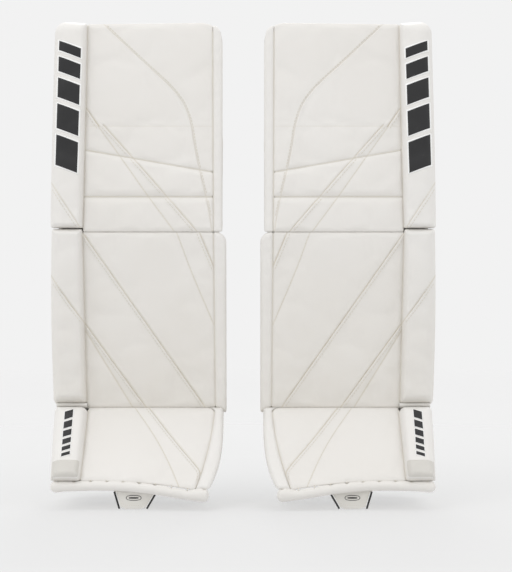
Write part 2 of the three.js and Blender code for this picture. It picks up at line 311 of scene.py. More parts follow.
class Panel:
    """A stuffed piece between two side edges and two ends, seen from its front.

    Its front swells from a rim to its full height within edge millimetres of its outline,
    and a wall runs from the rim to its flat back. front, rim and back are y. Edges and rims
    in fours go left, right, low and high, and corners go low left, low right, high left and
    high right. swell is how far the cloth simulation may blow it up, mesh the size of its
    cells, bulge how far its wall stands out, and wave the height of its unevenness. shape
    bends the flat piece, and place is its segment.
    """

    def __init__(self, name, sides, ends, front, rim, edge=9.0, corners=(4, 4, 4, 4),
                 crown=1.0, back=FACE_BACK, seams=(), swell=2.0, tucks=None, mesh=4.0,
                 bulge=0.0, shape=None, place=None, wave=1.0):
        self.name, self.sides, self.ends = name, sides, ends
        self.front, self.back = front, back
        self.edges = edge if isinstance(edge, tuple) else (edge,) * 4
        self.rims = rim if isinstance(rim, tuple) else (rim,) * 4
        self.corners, self.crown, self.seams = corners, crown, seams
        self.swell, self.tucks, self.mesh, self.bulge = swell, tucks, mesh, bulge
        self.shape, self.place, self.wave, self.field = shape, place, wave, None

    def where(self, u, v):
        (x0, x1), (z0, z1) = limits(self.sides, v), limits(self.ends, u)
        return x0 + u * (x1 - x0), z0 + v * (z1 - z0)

    def inverse(self, x, z):
        u = np.full(x.shape, 0.5)
        for _ in range(5):
            z0, z1 = limits(self.ends, u)
            v = np.clip((z - z0) / (z1 - z0), 0, 1)
            x0, x1 = limits(self.sides, v)
            u = np.clip((x - x0) / (x1 - x0), 0, 1)
        return u, v

    def size(self):
        """The width and height through the middle."""
        half = np.array([0.5])
        return [float(high[0] - low[0])
                for low, high in (limits(self.sides, half), limits(self.ends, half))]

    def margins(self, x, z):
        """Distances to the left, right, low and high edges, with u and v."""
        u, v = self.inverse(x, z)
        (x0, x1), (z0, z1) = limits(self.sides, v), limits(self.ends, u)
        width, height = x1 - x0, z1 - z0
        return (u * width, (1 - u) * width, v * height, (1 - v) * height), u, v

    def inside(self, margins):
        """Distance in from the rounded outline."""
        left, right, low, high = margins
        d = np.minimum(np.minimum(left, right), np.minimum(low, high))
        for (a, b), r in zip(((left, low), (right, low), (left, high), (right, high)),
                             self.corners):
            corner = (a < r) & (b < r)
            d = np.where(corner, r - np.hypot(r - a, r - b), d)
        return np.maximum(d, 0)

    def depth(self, x, z):
        """The front surface's y."""
        margins, u, v = self.margins(x, z)
        d = self.inside(margins)
        shares = [1 / (m + 0.5) ** 3 for m in margins]
        edge = sum(s * e for s, e in zip(shares, self.edges)) / sum(shares)
        rim = sum(s * r for s, r in zip(shares, self.rims)) / sum(shares)
        g = arch(d / edge)
        settled = smoothstep(d / edge)
        bulge = (16 * u * (1 - u) * v * (1 - v)) ** 0.6
        rise = (rim - self.front) * g + self.crown * bulge * g
        for seam in self.seams:
            rise = rise + seam.rise(x, z) * settled
        if self.field is not None:
            rows, columns = self.field.shape
            rise = rise + bspline(self.field, v * (rows - 1), u * (columns - 1)) * settled
        rise = rise + settled * self.wave * (0.5 * noise(x, z, 46, 1)
                                             + 0.16 * noise(x, z, 15, 2))
        if self.tucks is not None:
            rise = rise + self.tucks(x, z, margins[2], margins[3]) * g
        return rim - rise

    # Painted shade: the skin darkens at its rounded outline, where it dips into the groove
    # between panels, and along its seams.
    def dirt(self, x, z):
        total = 0.15 * np.exp(-(self.inside(self.margins(x, z)[0]) / 0.8) ** 2)
        for seam in self.seams:
            total = np.maximum(total, seam.dirt(x, z))
        return total

    def grid(self):
        """The front's points and faces, finer along seams and rims, and its outline's loop."""
        width, height = self.size()
        us = grid_lines(width, self.edges[0], self.edges[1], self.mesh)
        vs = grid_lines(height, self.edges[2], self.edges[3], self.mesh)
        nu, nv = (len(us) - 1) // 4, (len(vs) - 1) // 4
        x, z = self.where(*np.meshgrid(us[2::4], vs[2::4], indexing="ij"))
        near = np.full(x.shape, 1e9)
        for seam in self.seams:
            near = np.minimum(near, np.abs(signed_distance(seam.line, x, z)))
        level = np.where(near < 1.3 * self.mesh, 4, np.where(near < 2.6 * self.mesh, 2, 1))
        rim = np.zeros(x.shape, bool)
        rim[:3] = rim[-3:] = True
        rim[:, :3] = rim[:, -3:] = True
        level = np.where(rim, np.maximum(level, 2), level)
        real = np.zeros((4 * nu + 1, 4 * nv + 1), bool)
        for k in (1, 2, 4):
            step = 4 // k
            for i, j in zip(*np.nonzero(level == k)):
                real[4 * i:4 * i + 5:step, 4 * j:4 * j + 5:step] = True
        number = np.full(real.shape, -1)
        number[real] = np.arange(real.sum())
        faces = []
        for i in range(nu):
            for j in range(nv):
                step = 4 // level[i, j]
                for a in range(4 * i, 4 * i + 4, step):
                    for b in range(4 * j, 4 * j + 4, step):
                        c, d = a + step, b + step
                        ring = [*number[a:c, b], *number[c, b:d],
                                *number[c:a:-1, d], *number[a, d:b:-1]]
                        faces.append([n for n in ring if n >= 0])
        gu, gv = np.meshgrid(us, vs, indexing="ij")
        x, z = self.round_corners(*self.where(gu[real], gv[real]))
        return x, z, faces, [n for n in rim_of(number) if n >= 0]

    def round_corners(self, x, z):
        left, right, low, high = self.margins(x, z)[0]
        corners = ((left, low, 1, 1), (right, low, -1, 1), (left, high, 1, -1),
                   (right, high, -1, -1))
        x, z = x.copy(), z.copy()
        for (a, b, sx, sz), r in zip(corners, self.corners):
            corner = (a < r) & (b < r)
            p, q = 1 - a[corner] / r, 1 - b[corner] / r
            x[corner] += sx * r * (p - p * np.sqrt(1 - q * q / 2))
            z[corner] += sz * r * (q - q * np.sqrt(1 - p * p / 2))
        return x, z

    def place_points(self, points):
        """Points of the flat piece, moved to where the piece is in its segment."""
        if self.shape is not None:
            points = self.shape(points)
        return self.place.tip(points)

    def build(self):
        """Points, faces, the painted shade of each point, and its place in the weave."""
        x, z, faces, loop = self.grid()
        y = self.depth(x, z)
        points = [np.stack([x, y, z], 1)]
        dirt = [self.dirt(x, z)]
        rim = np.stack([x[loop], z[loop]], 1)
        out = out_of(rim)
        soft = min(2.0, 0.4 * (self.back - max(self.rims)))
        top, foot = y[loop], self.back - soft
        steps = 6 if self.bulge else 2
        rows = [(top + (foot - top) * t, self.bulge * math.sin(math.pi * t))
                for t in np.linspace(0, 1, steps + 1)[1:]]
        rows.append((self.back + 0 * top, -soft))
        start, count = loop, len(x)
        for y_row, outward in rows:
            ring = rim + out * outward
            if 0 < outward:
                ring = ring + out * (outward * noise(rim.sum(1), y_row, 18, 4))[:, None]
            points.append(np.stack([ring[:, 0], y_row, ring[:, 1]], 1))
            # The wall, down in the groove, gets an even share of painted shade.
            dirt.append(np.full(len(loop), 0.15))
            now = list(range(count, count + len(loop)))
            for k in range(len(loop)):
                m = (k + 1) % len(loop)
                faces.append([start[m], start[k], now[k], now[m]])
            start, count = now, count + len(loop)
        faces.append(start[::-1])
        flat = np.vstack(points)
        return self.place_points(flat), faces, np.concatenate(dirt), flat[:, [0, 2]] * MM

    def outline(self, inset):
        """The rounded outline's x and z, moved inward."""
        sides = [np.linspace(0, 1, max(3, round(s / OUTLINE_STEP)))[:-1] for s in self.size()]
        zero, one = [np.zeros_like(s) for s in sides], [np.ones_like(s) for s in sides]
        u = np.concatenate([sides[0], one[1], 1 - sides[0], zero[1]])
        v = np.concatenate([zero[0], sides[1], one[0], 1 - sides[1]])
        line = np.stack(self.round_corners(*self.where(u, v)), 1)
        return line - inset * out_of(line)


# ---------- cloth simulation ----------

SHEET_CELL, SHEET_APART = 6.0, 60
SHEET_FRAMES = 20


def inflate(panels):
    """Blows up every panel's skin as a sheet pinned at its outline and its seams."""
    points, faces, pins, sizes = [], [], [], []
    count = 0
    for k, panel in enumerate(panels):
        width, height = panel.size()
        columns = max(6, round(width / SHEET_CELL) + 1)
        rows = max(6, round(height / SHEET_CELL) + 1)
        v, u = np.meshgrid(np.linspace(0, 1, rows), np.linspace(0, 1, columns), indexing="ij")
        x, z = panel.where(u, v)
        held = np.ones(x.shape, bool)
        held[1:-1, 1:-1] = False
        for seam in panel.seams:
            held |= np.abs(signed_distance(seam.line, x, z)) < 0.55 * SHEET_CELL
        start = 0.4 * noise(x, z, 25, 3) * ~held
        points.append(np.stack([x, SHEET_APART * k - start, z], -1).reshape(-1, 3) * MM)
        number = np.arange(rows * columns).reshape(rows, columns) + count
        quads = [number[:-1, :-1], number[:-1, 1:], number[1:, 1:], number[1:, :-1]]
        faces += np.stack(quads, -1).reshape(-1, 4).tolist()
        pins += (np.nonzero(held.ravel())[0] + count).tolist()
        sizes.append((rows, columns))
        count += rows * columns
    mesh = bpy.data.meshes.new("sheets")
    rest = np.vstack(points)
    mesh.from_pydata(rest.tolist(), [], faces)
    sheets = bpy.data.objects.new("sheets", mesh)
    scene = bpy.context.scene
    scene.collection.objects.link(sheets)
    sheets.vertex_groups.new(name="pins").add(pins, 1.0, "REPLACE")
    cloth = sheets.modifiers.new("Cloth", "CLOTH")
    settings = cloth.settings
    settings.quality = 6
    settings.mass = 0.3
    settings.tension_stiffness = settings.compression_stiffness = 15
    settings.shear_stiffness = 8
    settings.bending_stiffness = 0.6
    settings.vertex_group_mass = "pins"
    settings.use_pressure = True
    settings.uniform_pressure_force = 4
    settings.shrink_min = -0.035
    settings.effector_weights.gravity = 0
    cloth.collision_settings.use_collision = False
    cloth.point_cache.frame_end = SHEET_FRAMES
    for number in range(1, SHEET_FRAMES + 1):
        scene.frame_set(number)
    evaluated = sheets.evaluated_get(bpy.context.evaluated_depsgraph_get())
    moved = np.zeros(len(rest) * 3, np.float32)
    evaluated.data.vertices.foreach_get("co", moved)
    moved = moved.reshape(-1, 3)
    bpy.data.objects.remove(sheets)
    scene.frame_set(1)
    count = 0
    for k, (panel, (rows, columns)) in enumerate(zip(panels, sizes)):
        depth = moved[count:count + rows * columns, 1].reshape(rows, columns) / MM
        panel.field = panel.swell * np.tanh((SHEET_APART * k - depth) / (2 * panel.swell))
        count += rows * columns


# ---------- blocks, tubes and sheets ----------


def loft(rings, closed=False):
    """Faces between closed rings of equal length, capped unless the rings join up."""
    n, m = rings.shape[:2]
    number = np.arange(n * m).reshape(n, m)
    if closed:
        number = np.vstack([number, number[:1]])
    following = np.roll(number, -1, axis=1)
    quads = np.stack([number[:-1], following[:-1], following[1:], number[1:]], -1)
    faces = quads.reshape(-1, 4).tolist()
    if not closed:
        faces += [number[0, ::-1].tolist(), number[-1].tolist()]
    return rings.reshape(-1, 3), faces


def merge(parts):
    """Several bodies' points and faces as one."""
    points, faces, count = [], [], 0
    for p, f in parts:
        points.append(p)
        faces += [[n + count for n in face] for face in f]
        count += len(p)
    return np.vstack(points), faces


def circle(radius, count=10, squash=1.0):
    turn = np.linspace(0, 2 * math.pi, count, endpoint=False)
    return np.stack([radius * np.cos(turn), radius * squash * np.sin(turn)], 1)


def sweep(path, section, up, closed=False):
    """Carries a section of (sideways, upward) offsets along a path."""
    path = np.asarray(path, float)
    way = np.roll(path, -1, 0) - np.roll(path, 1, 0) if closed else np.gradient(path, axis=0)
    way = unit(way)
    side = unit(np.cross(way, np.broadcast_to(up, path.shape)))
    top = np.cross(side, way)
    rings = path[:, None] + section[:, :1] * side[:, None] + section[:, 1:] * top[:, None]
    return loft(rings, closed)


class Block:
    """A stuffed piece with the same outline of (a, b) points on two faces, at heights low
    and high, with rounded edges, crowned faces, and a sewn channel round each face."""

    def __init__(self, outline, low, high, edge=5.0, crown=2.0, corner=2, channel=0.0,
                 dip=0.8, bulge=1.0, step=3.0):
        p = np.array(outline, float)
        for _ in range(corner):
            after = np.roll(p, -1, 0)
            p = np.stack([0.75 * p + 0.25 * after, 0.25 * p + 0.75 * after], 1).reshape(-1, 2)
        self.line = resample(p, step, closed=True)
        turned = np.sum(self.line[:, 0] * np.roll(self.line[:, 1], -1)
                        - np.roll(self.line[:, 0], -1) * self.line[:, 1])
        self.out = np.sign(turned) * out_of(self.line)
        self.centre = self.line.mean(0)
        self.low, self.high, self.edge, self.crown = low, high, edge, crown
        self.channel, self.dip, self.bulge = channel, dip, bulge

    def ring(self, inset):
        """The outline moved inward, with each point's height above the rim."""
        near = self.line - self.out * min(inset, self.edge + 2)
        reach = np.linalg.norm(near - self.centre, axis=1, keepdims=True)
        further = max(inset - self.edge - 2, 0)
        line = near - unit(near - self.centre) * np.minimum(further, reach * 0.98)
        rise = self.edge * float(arch(np.array(inset / self.edge)))
        share = np.clip(np.linalg.norm(line - self.centre, axis=1)
                        / np.linalg.norm(self.line - self.centre, axis=1), 0, 1)
        rise = rise + self.crown * (1 - share ** 2)
        if self.channel:
            rise = rise - self.dip * math.exp(-abs((inset - self.channel) / 1.6) ** 1.5)
        settled = smoothstep(inset / self.edge)
        return line, rise + settled * 0.7 * noise(line[:, 0], line[:, 1], 22)

    def face(self, inset, top=True):
        line, rise = self.ring(inset)
        height = self.high - self.edge + rise if top else self.low + self.edge - rise
        return np.column_stack([line, height])

    def build(self):
        """Points as (a, b, height) and faces."""
        reach = np.linalg.norm(self.line - self.centre, axis=1).max()
        insets = [self.edge * (1 - math.cos(t)) for t in np.linspace(0, math.pi / 2, 7)]
        insets += list(np.arange(self.edge + 1.5, reach, 3.0 if reach < 80 else 5.0))
        if self.channel:
            insets += [self.channel + d for d in (-2.4, -1.2, -0.4, 0.4, 1.2, 2.4)]
        insets = sorted(i for i in insets if i >= 0)
        down = [self.face(i, False) for i in reversed(insets)]
        up = [self.face(i, True) for i in insets]
        walls = []
        for t in (0.2, 0.4, 0.6, 0.8):
            line = self.line + self.out * self.bulge * math.sin(math.pi * t)
            start, end = self.low + self.edge, self.high - self.edge
            walls.append(np.column_stack([line, np.full(len(line), start + (end - start) * t)]))
        return loft(np.stack([*down, *walls, *up]))


PATH_STEP = 3.0


def hook(x, y, depth, radius, end_x, turn):
    """A path seen from above that goes back from (x, y), turns a quarter circle, and runs
    across the back of the leg at that depth to end_x. turn is +1 towards smaller x."""
    angles = np.linspace(0, math.pi / 2, 16)
    arc = np.stack([x - turn * radius * (1 - np.cos(angles)),
                    depth - radius + radius * np.sin(angles)], 1)
    return resample(np.vstack([[(x, y)], arc, [(end_x, depth)]]), PATH_STEP)


def along_path(path, outward):
    """Maps a flat piece's x onto distance along a path, and its front onto the path's
    outside, at the given side of its direction."""
    way = unit(np.gradient(path, axis=0))
    total = distances(path)

    def shape(points):
        s = points[:, 0]
        over = s - np.clip(s, 0, total[-1])
        ahead = unit(read_along(way, total, s))
        at = read_along(path, total, s) + ahead * over[:, None]
        flat = at - outward * left_of(ahead) * points[:, 1:2]
        return np.column_stack([flat, points[:, 2]])

    return shape, total[-1]


# ---------- stitches ----------

# Millimetres: a stitch's length, the step from one to the next, its thread's radius, how far
# stitches stay from a panel's outline, and the reach over which a surface's slope is read.
STITCH_LENGTH, STITCH_PITCH, THREAD = 3.6, 5.2, 0.5
STITCH_MARGIN, SLOPE_REACH = 3.0, 1.5


def stitch_bodies(starts, ends, normals, thread=THREAD):
    """A short arched thread from each start to its end."""
    turn = np.linspace(0, 2 * math.pi, 6, endpoint=False)
    across = np.cross(unit(ends - starts), normals)
    rings = []
    for t, lift in zip((0.0, 0.12, 0.5, 0.88, 1.0), (-0.6, 0.35, 0.7, 0.35, -0.6)):
        centre = starts + (ends - starts) * t + normals * lift * thread
        rings.append(np.stack([centre + thread * (math.cos(a) * across
                                                  + 0.8 * math.sin(a) * normals)
                               for a in turn], 1))
    return merge([loft(one) for one in np.stack(rings, 1)])


def stitch_run(path, normals, pitch=STITCH_PITCH, length=STITCH_LENGTH, thread=THREAD,
               closed=False):
    """Stitches end to end along a line in space."""
    both = np.hstack([path, np.broadcast_to(normals, path.shape)])
    fine = resample(both, pitch / 8, closed)
    reach = max(1, round(length / pitch * 4))
    middle = np.arange(4, len(fine) - 4, 8)
    if len(middle) == 0:
        return None
    return stitch_bodies(fine[middle - reach + reach // 2, :3],
                         fine[np.minimum(middle + reach // 2, len(fine) - 1), :3],
                         unit(fine[middle, 3:]), thread)


def surface_stitches(panel, line):
    """Stitches on a panel's front along a line in its x and z."""
    fine = resample(line, STITCH_PITCH / 2)
    way = unit(np.gradient(fine, axis=0))
    centres, way = fine[1::2], way[1::2]
    x, z = centres[:, 0], centres[:, 1]
    margins, u, v = panel.margins(x, z)
    inside = ((panel.inside(margins) > STITCH_MARGIN)
              & (u > 0) & (u < 1) & (v > 0) & (v < 1))
    if not inside.any():
        return None
    x, z, way = x[inside], z[inside], way[inside]
    ends = []
    for sign in (-1, 1):
        ax = x + sign * way[:, 0] * STITCH_LENGTH / 2
        az = z + sign * way[:, 1] * STITCH_LENGTH / 2
        ends.append(np.stack([ax, panel.depth(ax, az), az], 1))
    e = SLOPE_REACH
    slope_x = (panel.depth(x + e, z) - panel.depth(x - e, z)) / (2 * e)
    slope_z = (panel.depth(x, z + e) - panel.depth(x, z - e)) / (2 * e)
    normals = unit(np.stack([slope_x, -np.ones(len(x)), slope_z], 1))
    points, faces = stitch_bodies(*ends, normals)
    return panel.place_points(points), faces


def offset_line(line, distance):
    """The line moved sideways, to its left if distance is positive."""
    return line + distance * left_of(unit(np.gradient(line, axis=0)))


def panel_threads(panels):
    return [surface_stitches(panel, offset_line(seam.line, distance))
            for panel in panels for seam in panel.seams for distance in seam.stitches]


PATCH_STEP, PATCH_SINK = 2.0, 0.6


def patch(panel, outline, height):
    """A thin layer on a panel's front, inside four corners in order round it."""
    a, b, c, d = (np.array(p, float) for p in outline)
    nu, nv = [max(2, round(max(map(np.linalg.norm, pair)) / PATCH_STEP) + 1)
              for pair in ((b - a, c - d), (d - a, c - b))]
    u, v = np.meshgrid(np.linspace(0, 1, nu), np.linspace(0, 1, nv), indexing="ij")
    u, v = u[..., None], v[..., None]
    flat = a * (1 - u) * (1 - v) + b * u * (1 - v) + c * u * v + d * (1 - u) * v
    x, z = flat[..., 0].ravel(), flat[..., 1].ravel()
    y = panel.depth(x, z)
    number = np.arange(nu * nv).reshape(nu, nv)
    quads = [number[:-1, :-1], number[1:, :-1], number[1:, 1:], number[:-1, 1:]]
    quads = np.stack(quads, -1).reshape(-1, 4)
    loop = rim_of(number)
    n = nu * nv
    faces = quads.tolist() + (quads[:, ::-1] + n).tolist()
    for k, first in enumerate(loop):
        second = loop[(k + 1) % len(loop)]
        faces.append([second, first, first + n, second + n])
    points = np.vstack([np.stack([x, y - height, z], 1), np.stack([x, y + PATCH_SINK, z], 1)])
    return panel.place_points(points), faces


# ---------- adding pieces ----------


def mesh_object(name, points, faces, material, dirt=None, weave=None):
    """A mesh piece, with each point's share of painted shade in seams and creases. weave is
    its flat x and z in metres, which woven cloth follows round its bends."""
    if weave is None:
        weave = np.column_stack([points[:, 0] + points[:, 1], points[:, 2]])
    mesh = bpy.data.meshes.new(name)
    mesh.from_pydata(np.asarray(points).tolist(), [], [list(map(int, f)) for f in faces])
    work = bmesh.new()
    work.from_mesh(mesh)
    bmesh.ops.recalc_face_normals(work, faces=work.faces)
    work.to_mesh(mesh)
    work.free()
    mesh.attributes.new("dirt", "FLOAT", "POINT").data.foreach_set(
        "value", np.zeros(len(points), np.float32) if dirt is None
        else np.asarray(dirt, np.float32))
    mesh.attributes.new("weave", "FLOAT_VECTOR", "POINT").data.foreach_set(
        "vector", np.pad(weave, ((0, 0), (0, 1))).astype(np.float32).ravel())
    mesh.shade_smooth()
    mesh.materials.append(material)
    obj = bpy.data.objects.new(name, mesh)
    bpy.context.scene.collection.objects.link(obj)
    return obj


def add_pair(name, made, material, place, body, slot, replaces=(), dirt=None,
             weave=None):
    """One piece for each pad, riding on that pad's body. made is points and faces."""
    points, faces = made
    for side, sign in SIDES.items():
        obj = mesh_object(f"{side}_{name}", place.world(points, sign), faces, material, dirt,
                          weave)
        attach(obj, f"{side}_{body}")
        if replaces:
            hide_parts(*[f"{side}_{node}" for node in replaces])


def add_panel(panel, material, body, slot, replaces=()):
    points, faces, dirt, weave = panel.build()
    # Painted shade on the shin's pieces, growing towards the boot, where the shin leans to face
    # a little downward.
    if panel.name in ("shin_panel", "outer_roll_shin", "inner_roll_shin"):
        dirt = dirt + SHIN_SHADE * np.clip(1 - points[:, 2] / SHIN_TOP, 0, 1)
    add_pair(panel.name + "_skin", (points, faces), material, panel.place, body, slot,
             replaces, dirt, weave)


FROM_FRONT, FROM_SIDE = [0, 2, 1], [2, 0, 1]


def add_block(name, block, turn, material, place, body, slot, replaces=()):
    """A block as a piece. turn says which of its (a, b, height) go to x, y and z."""
    points, faces = block.build()
    add_pair(name, (points[:, turn], faces), material, place, body, slot, replaces)


def add_threads(name, parts, place, body, slot="skin", material=None):
    parts = [p for p in parts if p is not None]
    add_pair(name, merge(parts), material or THREAD_MAT, place, body, slot)


# ---------- materials ----------


class Nodes:
    """A short way to write a material's nodes."""

    def __init__(self, name, color, roughness, **sockets):
        self.material = bpy.data.materials.new(name)
        self.material.use_nodes = True
        self.tree = self.material.node_tree
        self.shader = self.tree.nodes["Principled BSDF"]
        self.shader.inputs["Base Color"].default_value = (*color, 1)
        self.shader.inputs["Roughness"].default_value = roughness
        for socket, value in sockets.items():
            self.shader.inputs[socket.replace("_", " ")].default_value = value
        self.place = self.add("ShaderNodeTexCoord").outputs["Object"]

    def add(self, kind, inputs=None, **settings):
        node = self.tree.nodes.new(kind)
        for key, value in settings.items():
            setattr(node, key, value)
        for key, value in (inputs or {}).items():
            if isinstance(value, bpy.types.NodeSocket):
                self.tree.links.new(value, node.inputs[key])
            else:
                node.inputs[key].default_value = value
        return node

    def noise(self, scale, detail=3.0, roughness=0.55):
        return self.add("ShaderNodeTexNoise", {
            "Vector": self.place, "Scale": scale, "Detail": detail,
            "Roughness": roughness}).outputs["Fac"]

    def cells(self, scale, feature="DISTANCE_TO_EDGE"):
        return self.add("ShaderNodeTexVoronoi", {
            "Vector": self.place, "Scale": scale, "Randomness": 0.9},
            feature=feature).outputs["Distance"]

    def range(self, value, low, high, to_low=0.0, to_high=1.0):
        return self.add("ShaderNodeMapRange", {
            "Value": value, "From Min": low, "From Max": high, "To Min": to_low,
            "To Max": to_high}).outputs["Result"]

    def math(self, operation, a, b=0.0):
        return self.add("ShaderNodeMath", {0: a, 1: b}, operation=operation).outputs[0]

    def mix(self, share, first, second):
        def rgb(value):
            return value if isinstance(value, bpy.types.NodeSocket) else (*value, 1)
        node = self.add("ShaderNodeMix", {0: share, 6: rgb(first), 7: rgb(second)},
                        data_type="RGBA")
        return node.outputs[2]

    def attribute(self, name, output="Fac"):
        return self.add("ShaderNodeAttribute", attribute_name=name).outputs[output]

    def bump(self, heights):
        """Stacks bumps, each as (height socket, strength, distance in metres)."""
        normal = None
        for height, strength, distance in heights:
            inputs = {"Height": height, "Strength": strength, "Distance": distance}
            if normal is not None:
                inputs["Normal"] = normal
            normal = self.add("ShaderNodeBump", inputs).outputs["Normal"]
        self.tree.links.new(normal, self.shader.inputs["Normal"])

    def paint(self, color, roughness=None):
        self.tree.links.new(color, self.shader.inputs["Base Color"])
        if roughness is not None:
            self.tree.links.new(roughness, self.shader.inputs["Roughness"])


# The tan colour that painted shade gives the leather in seams, creases and grooves.
SEAM_SHADE = (0.60, 0.54, 0.42)


def leather(name, color, shade, roughness=0.46, grain=0.35):
    """Coated synthetic leather: a fine pebbled grain, faint scuffs, and painted tan shade in its
    seams and creases.
    """
    n = Nodes(name, color, roughness, Specular_IOR_Level=0.42)
    blotch = n.noise(38, 4)
    base = n.mix(n.range(n.noise(7, 3), 0.3, 0.7, 0.0, 0.8), color, shade)
    scuff = n.math("MULTIPLY", n.range(n.noise(95, 6, 0.7), 0.60, 0.78),
                   n.range(blotch, 0.5, 0.75, 0.0, 0.3))
    worn = n.mix(scuff, base, tuple(c * 0.86 for c in shade))
    # Painted shade, from each point's share, made a little uneven and mixed in as tan.
    tone = n.math("MULTIPLY", n.attribute("dirt"), n.range(blotch, 0.2, 0.7, 0.55, 0.95))
    n.paint(n.mix(tone, worn, SEAM_SHADE),
            n.range(blotch, 0.25, 0.75, roughness - 0.06, roughness + 0.08))
    n.bump([(blotch, 0.10, 0.002), (n.range(n.cells(1500), 0.0, 0.35), grain, 0.00022),
            (n.noise(2600, 2), grain * 0.6, 0.00012)])
    return n.material


def woven(name, color, thread_color, pitch, roughness=0.85, depth=0.0003, sheen=0.2):
    """A plain weave of two sets of yarns, pitch metres apart."""
    n = Nodes(name, color, roughness, Sheen_Weight=sheen, Sheen_Roughness=0.5)
    split = n.add("ShaderNodeSeparateXYZ", {"Vector": n.attribute("weave", "Vector")})
    fold = math.pi / pitch
    across = n.math("MULTIPLY", split.outputs["X"], fold)
    up = n.math("MULTIPLY", split.outputs["Y"], fold)
    weave = n.math("MULTIPLY", n.math("ABSOLUTE", n.math("SINE", across)),
                   n.math("ABSOLUTE", n.math("SINE", up)))
    patchy = n.noise(60, 4)
    base = n.mix(n.range(weave, 0.1, 0.8), color, thread_color)
    n.paint(n.mix(n.range(patchy, 0.3, 0.7, 0.0, 0.35), base, tuple(c * 0.8 for c in color)),
            n.range(patchy, 0.3, 0.7, roughness - 0.08, roughness + 0.05))
    n.bump([(patchy, 0.15, 0.0015), (weave, 0.6, depth)])
    return n.material


def brushed(name, color, light):
    """A short napped lining with faint tracks in the nap."""
    n = Nodes(name, color, 0.95, Sheen_Weight=0.35, Sheen_Roughness=0.4)
    tracks = n.noise(45, 5, 0.6)
    nap = n.noise(1400, 3)
    n.paint(n.mix(n.range(tracks, 0.35, 0.7), color, light),
            n.range(nap, 0.3, 0.7, 0.85, 1.0))
    n.bump([(tracks, 0.2, 0.001), (nap, 0.5, 0.0004)])
    return n.material


def moulded(name, color, roughness=0.42, metallic=0.0):
    """Spark-textured moulded plastic, or plated metal, with smoother spots."""
    n = Nodes(name, color, roughness, Specular_IOR_Level=0.5, Metallic=metallic)
    broad = n.noise(60, 3)
    n.paint(n.mix(n.range(broad, 0.35, 0.7, 0.0, 0.5), color, tuple(c * 1.5 for c in color)),
            n.range(broad, 0.3, 0.7, roughness - 0.08, roughness + 0.1))
    n.bump([(n.noise(2200, 2), 0.25, 0.00015)])
    return n.material


def printed(name, color):
    """A heat-pressed print: smooth, with a slight ripple of the grain below."""
    roughness = 0.35
    n = Nodes(name, color, roughness, Specular_IOR_Level=0.45)
    ripple = n.noise(420, 3)
    wear = n.range(n.noise(130, 5, 0.7), 0.62, 0.8, 0.0, 0.25)
    n.paint(n.mix(wear, color, tuple(min(1, c * 0.8 + 0.06) for c in color)),
            n.range(ripple, 0.3, 0.7, roughness - 0.05, roughness + 0.1))
    n.bump([(ripple, 0.2, 0.0003)])
    return n.material


def foam(name, color):
    """Closed-cell foam."""
    n = Nodes(name, color, 0.95)
    n.paint(n.mix(n.range(n.noise(80, 4), 0.3, 0.7), color, tuple(c * 0.85 for c in color)))
    n.bump([(n.cells(900, "F1"), 0.5, 0.0005)])
    return n.material


SKIN = leather("white_leather", (0.815, 0.795, 0.765), (0.785, 0.762, 0.725))
ROLL_SKIN = leather("roll_leather", (0.815, 0.80, 0.775), (0.79, 0.77, 0.74), 0.42, 0.3)
TOE_SKIN = leather("toe_patch_leather", (0.70, 0.68, 0.64), (0.665, 0.645, 0.60), 0.6, 0.7)
SLIDE_SKIN = leather("slide_leather", (0.79, 0.78, 0.76), (0.76, 0.745, 0.72), 0.28, 0.12)
CORD_SKIN = leather("cord_leather", (0.75, 0.72, 0.66), (0.71, 0.68, 0.60), 0.6, 0.2)
PIPING = leather("piping_leather", (0.78, 0.765, 0.735), (0.74, 0.72, 0.68), 0.42, 0.2)
THREAD_MAT = woven("thread", (0.70, 0.66, 0.57), (0.78, 0.75, 0.68), 0.0008, 0.7, 0.0001, 0.0)
DARK_THREAD = woven("dark_thread", (0.10, 0.10, 0.10), (0.2, 0.2, 0.2), 0.0008, 0.7, 0.0001,
                    0.0)
DARK_NYLON = woven("dark_nylon", (0.032, 0.033, 0.036), (0.050, 0.051, 0.056), 0.0026)
WEBBING = woven("black_webbing", (0.014, 0.014, 0.016), (0.055, 0.055, 0.058), 0.0024, 0.75,
                0.0006)
LINING = brushed("dark_lining", (0.035, 0.036, 0.038), (0.07, 0.072, 0.076))
INK = printed("dark_print", (0.014, 0.014, 0.015))
INK_EDGE = printed("white_print", (0.93, 0.93, 0.92))
TAB_SKIN = leather("tab_leather", (0.82, 0.80, 0.76), (0.77, 0.75, 0.70), 0.5, 0.4)
PLASTIC = moulded("buckle_plastic", (0.02, 0.02, 0.022))
METAL = moulded("plated_metal", (0.30, 0.30, 0.31), 0.38, 1.0)
FOAM = foam("core_foam", (0.72, 0.70, 0.62))

# ---------- the face ----------


def slope(low, high):
    return lambda u: low + (high - low) * u


def boot_edge(top, toe, bend=1.6, turn=0.0):
    """An edge of the boot that curves outward towards the toe, by share of height, and
    turns outward again by turn millimetres at its very top."""
    def edge(v):
        return (top + (toe - top) * np.power(np.clip(1 - v, 0, 1), bend)
                + turn * np.clip((v - 0.93) / 0.07, 0, 1) ** 3)
    return edge


def toe_line(u):
    """The boot panel's lower edge, which drops towards the inside of the leg."""
    return 11 - 17.5 * np.power(np.clip(1 - u, 0, 1), 2.4)


# The x of the first gather above the toe welt, and the step to the next.
GATHER_START, GATHER_PITCH = 60, 25.0


def gathers(x, z, low, high):
    """Puckers above the toe welt, one at each of its stitches."""
    wave = np.cos(2 * math.pi * (x - GATHER_START) / GATHER_PITCH)
    return -1.2 * (0.5 + 0.5 * wave) ** 3 * np.exp(-low / 7) + 0.5 * np.exp(-low / 16)


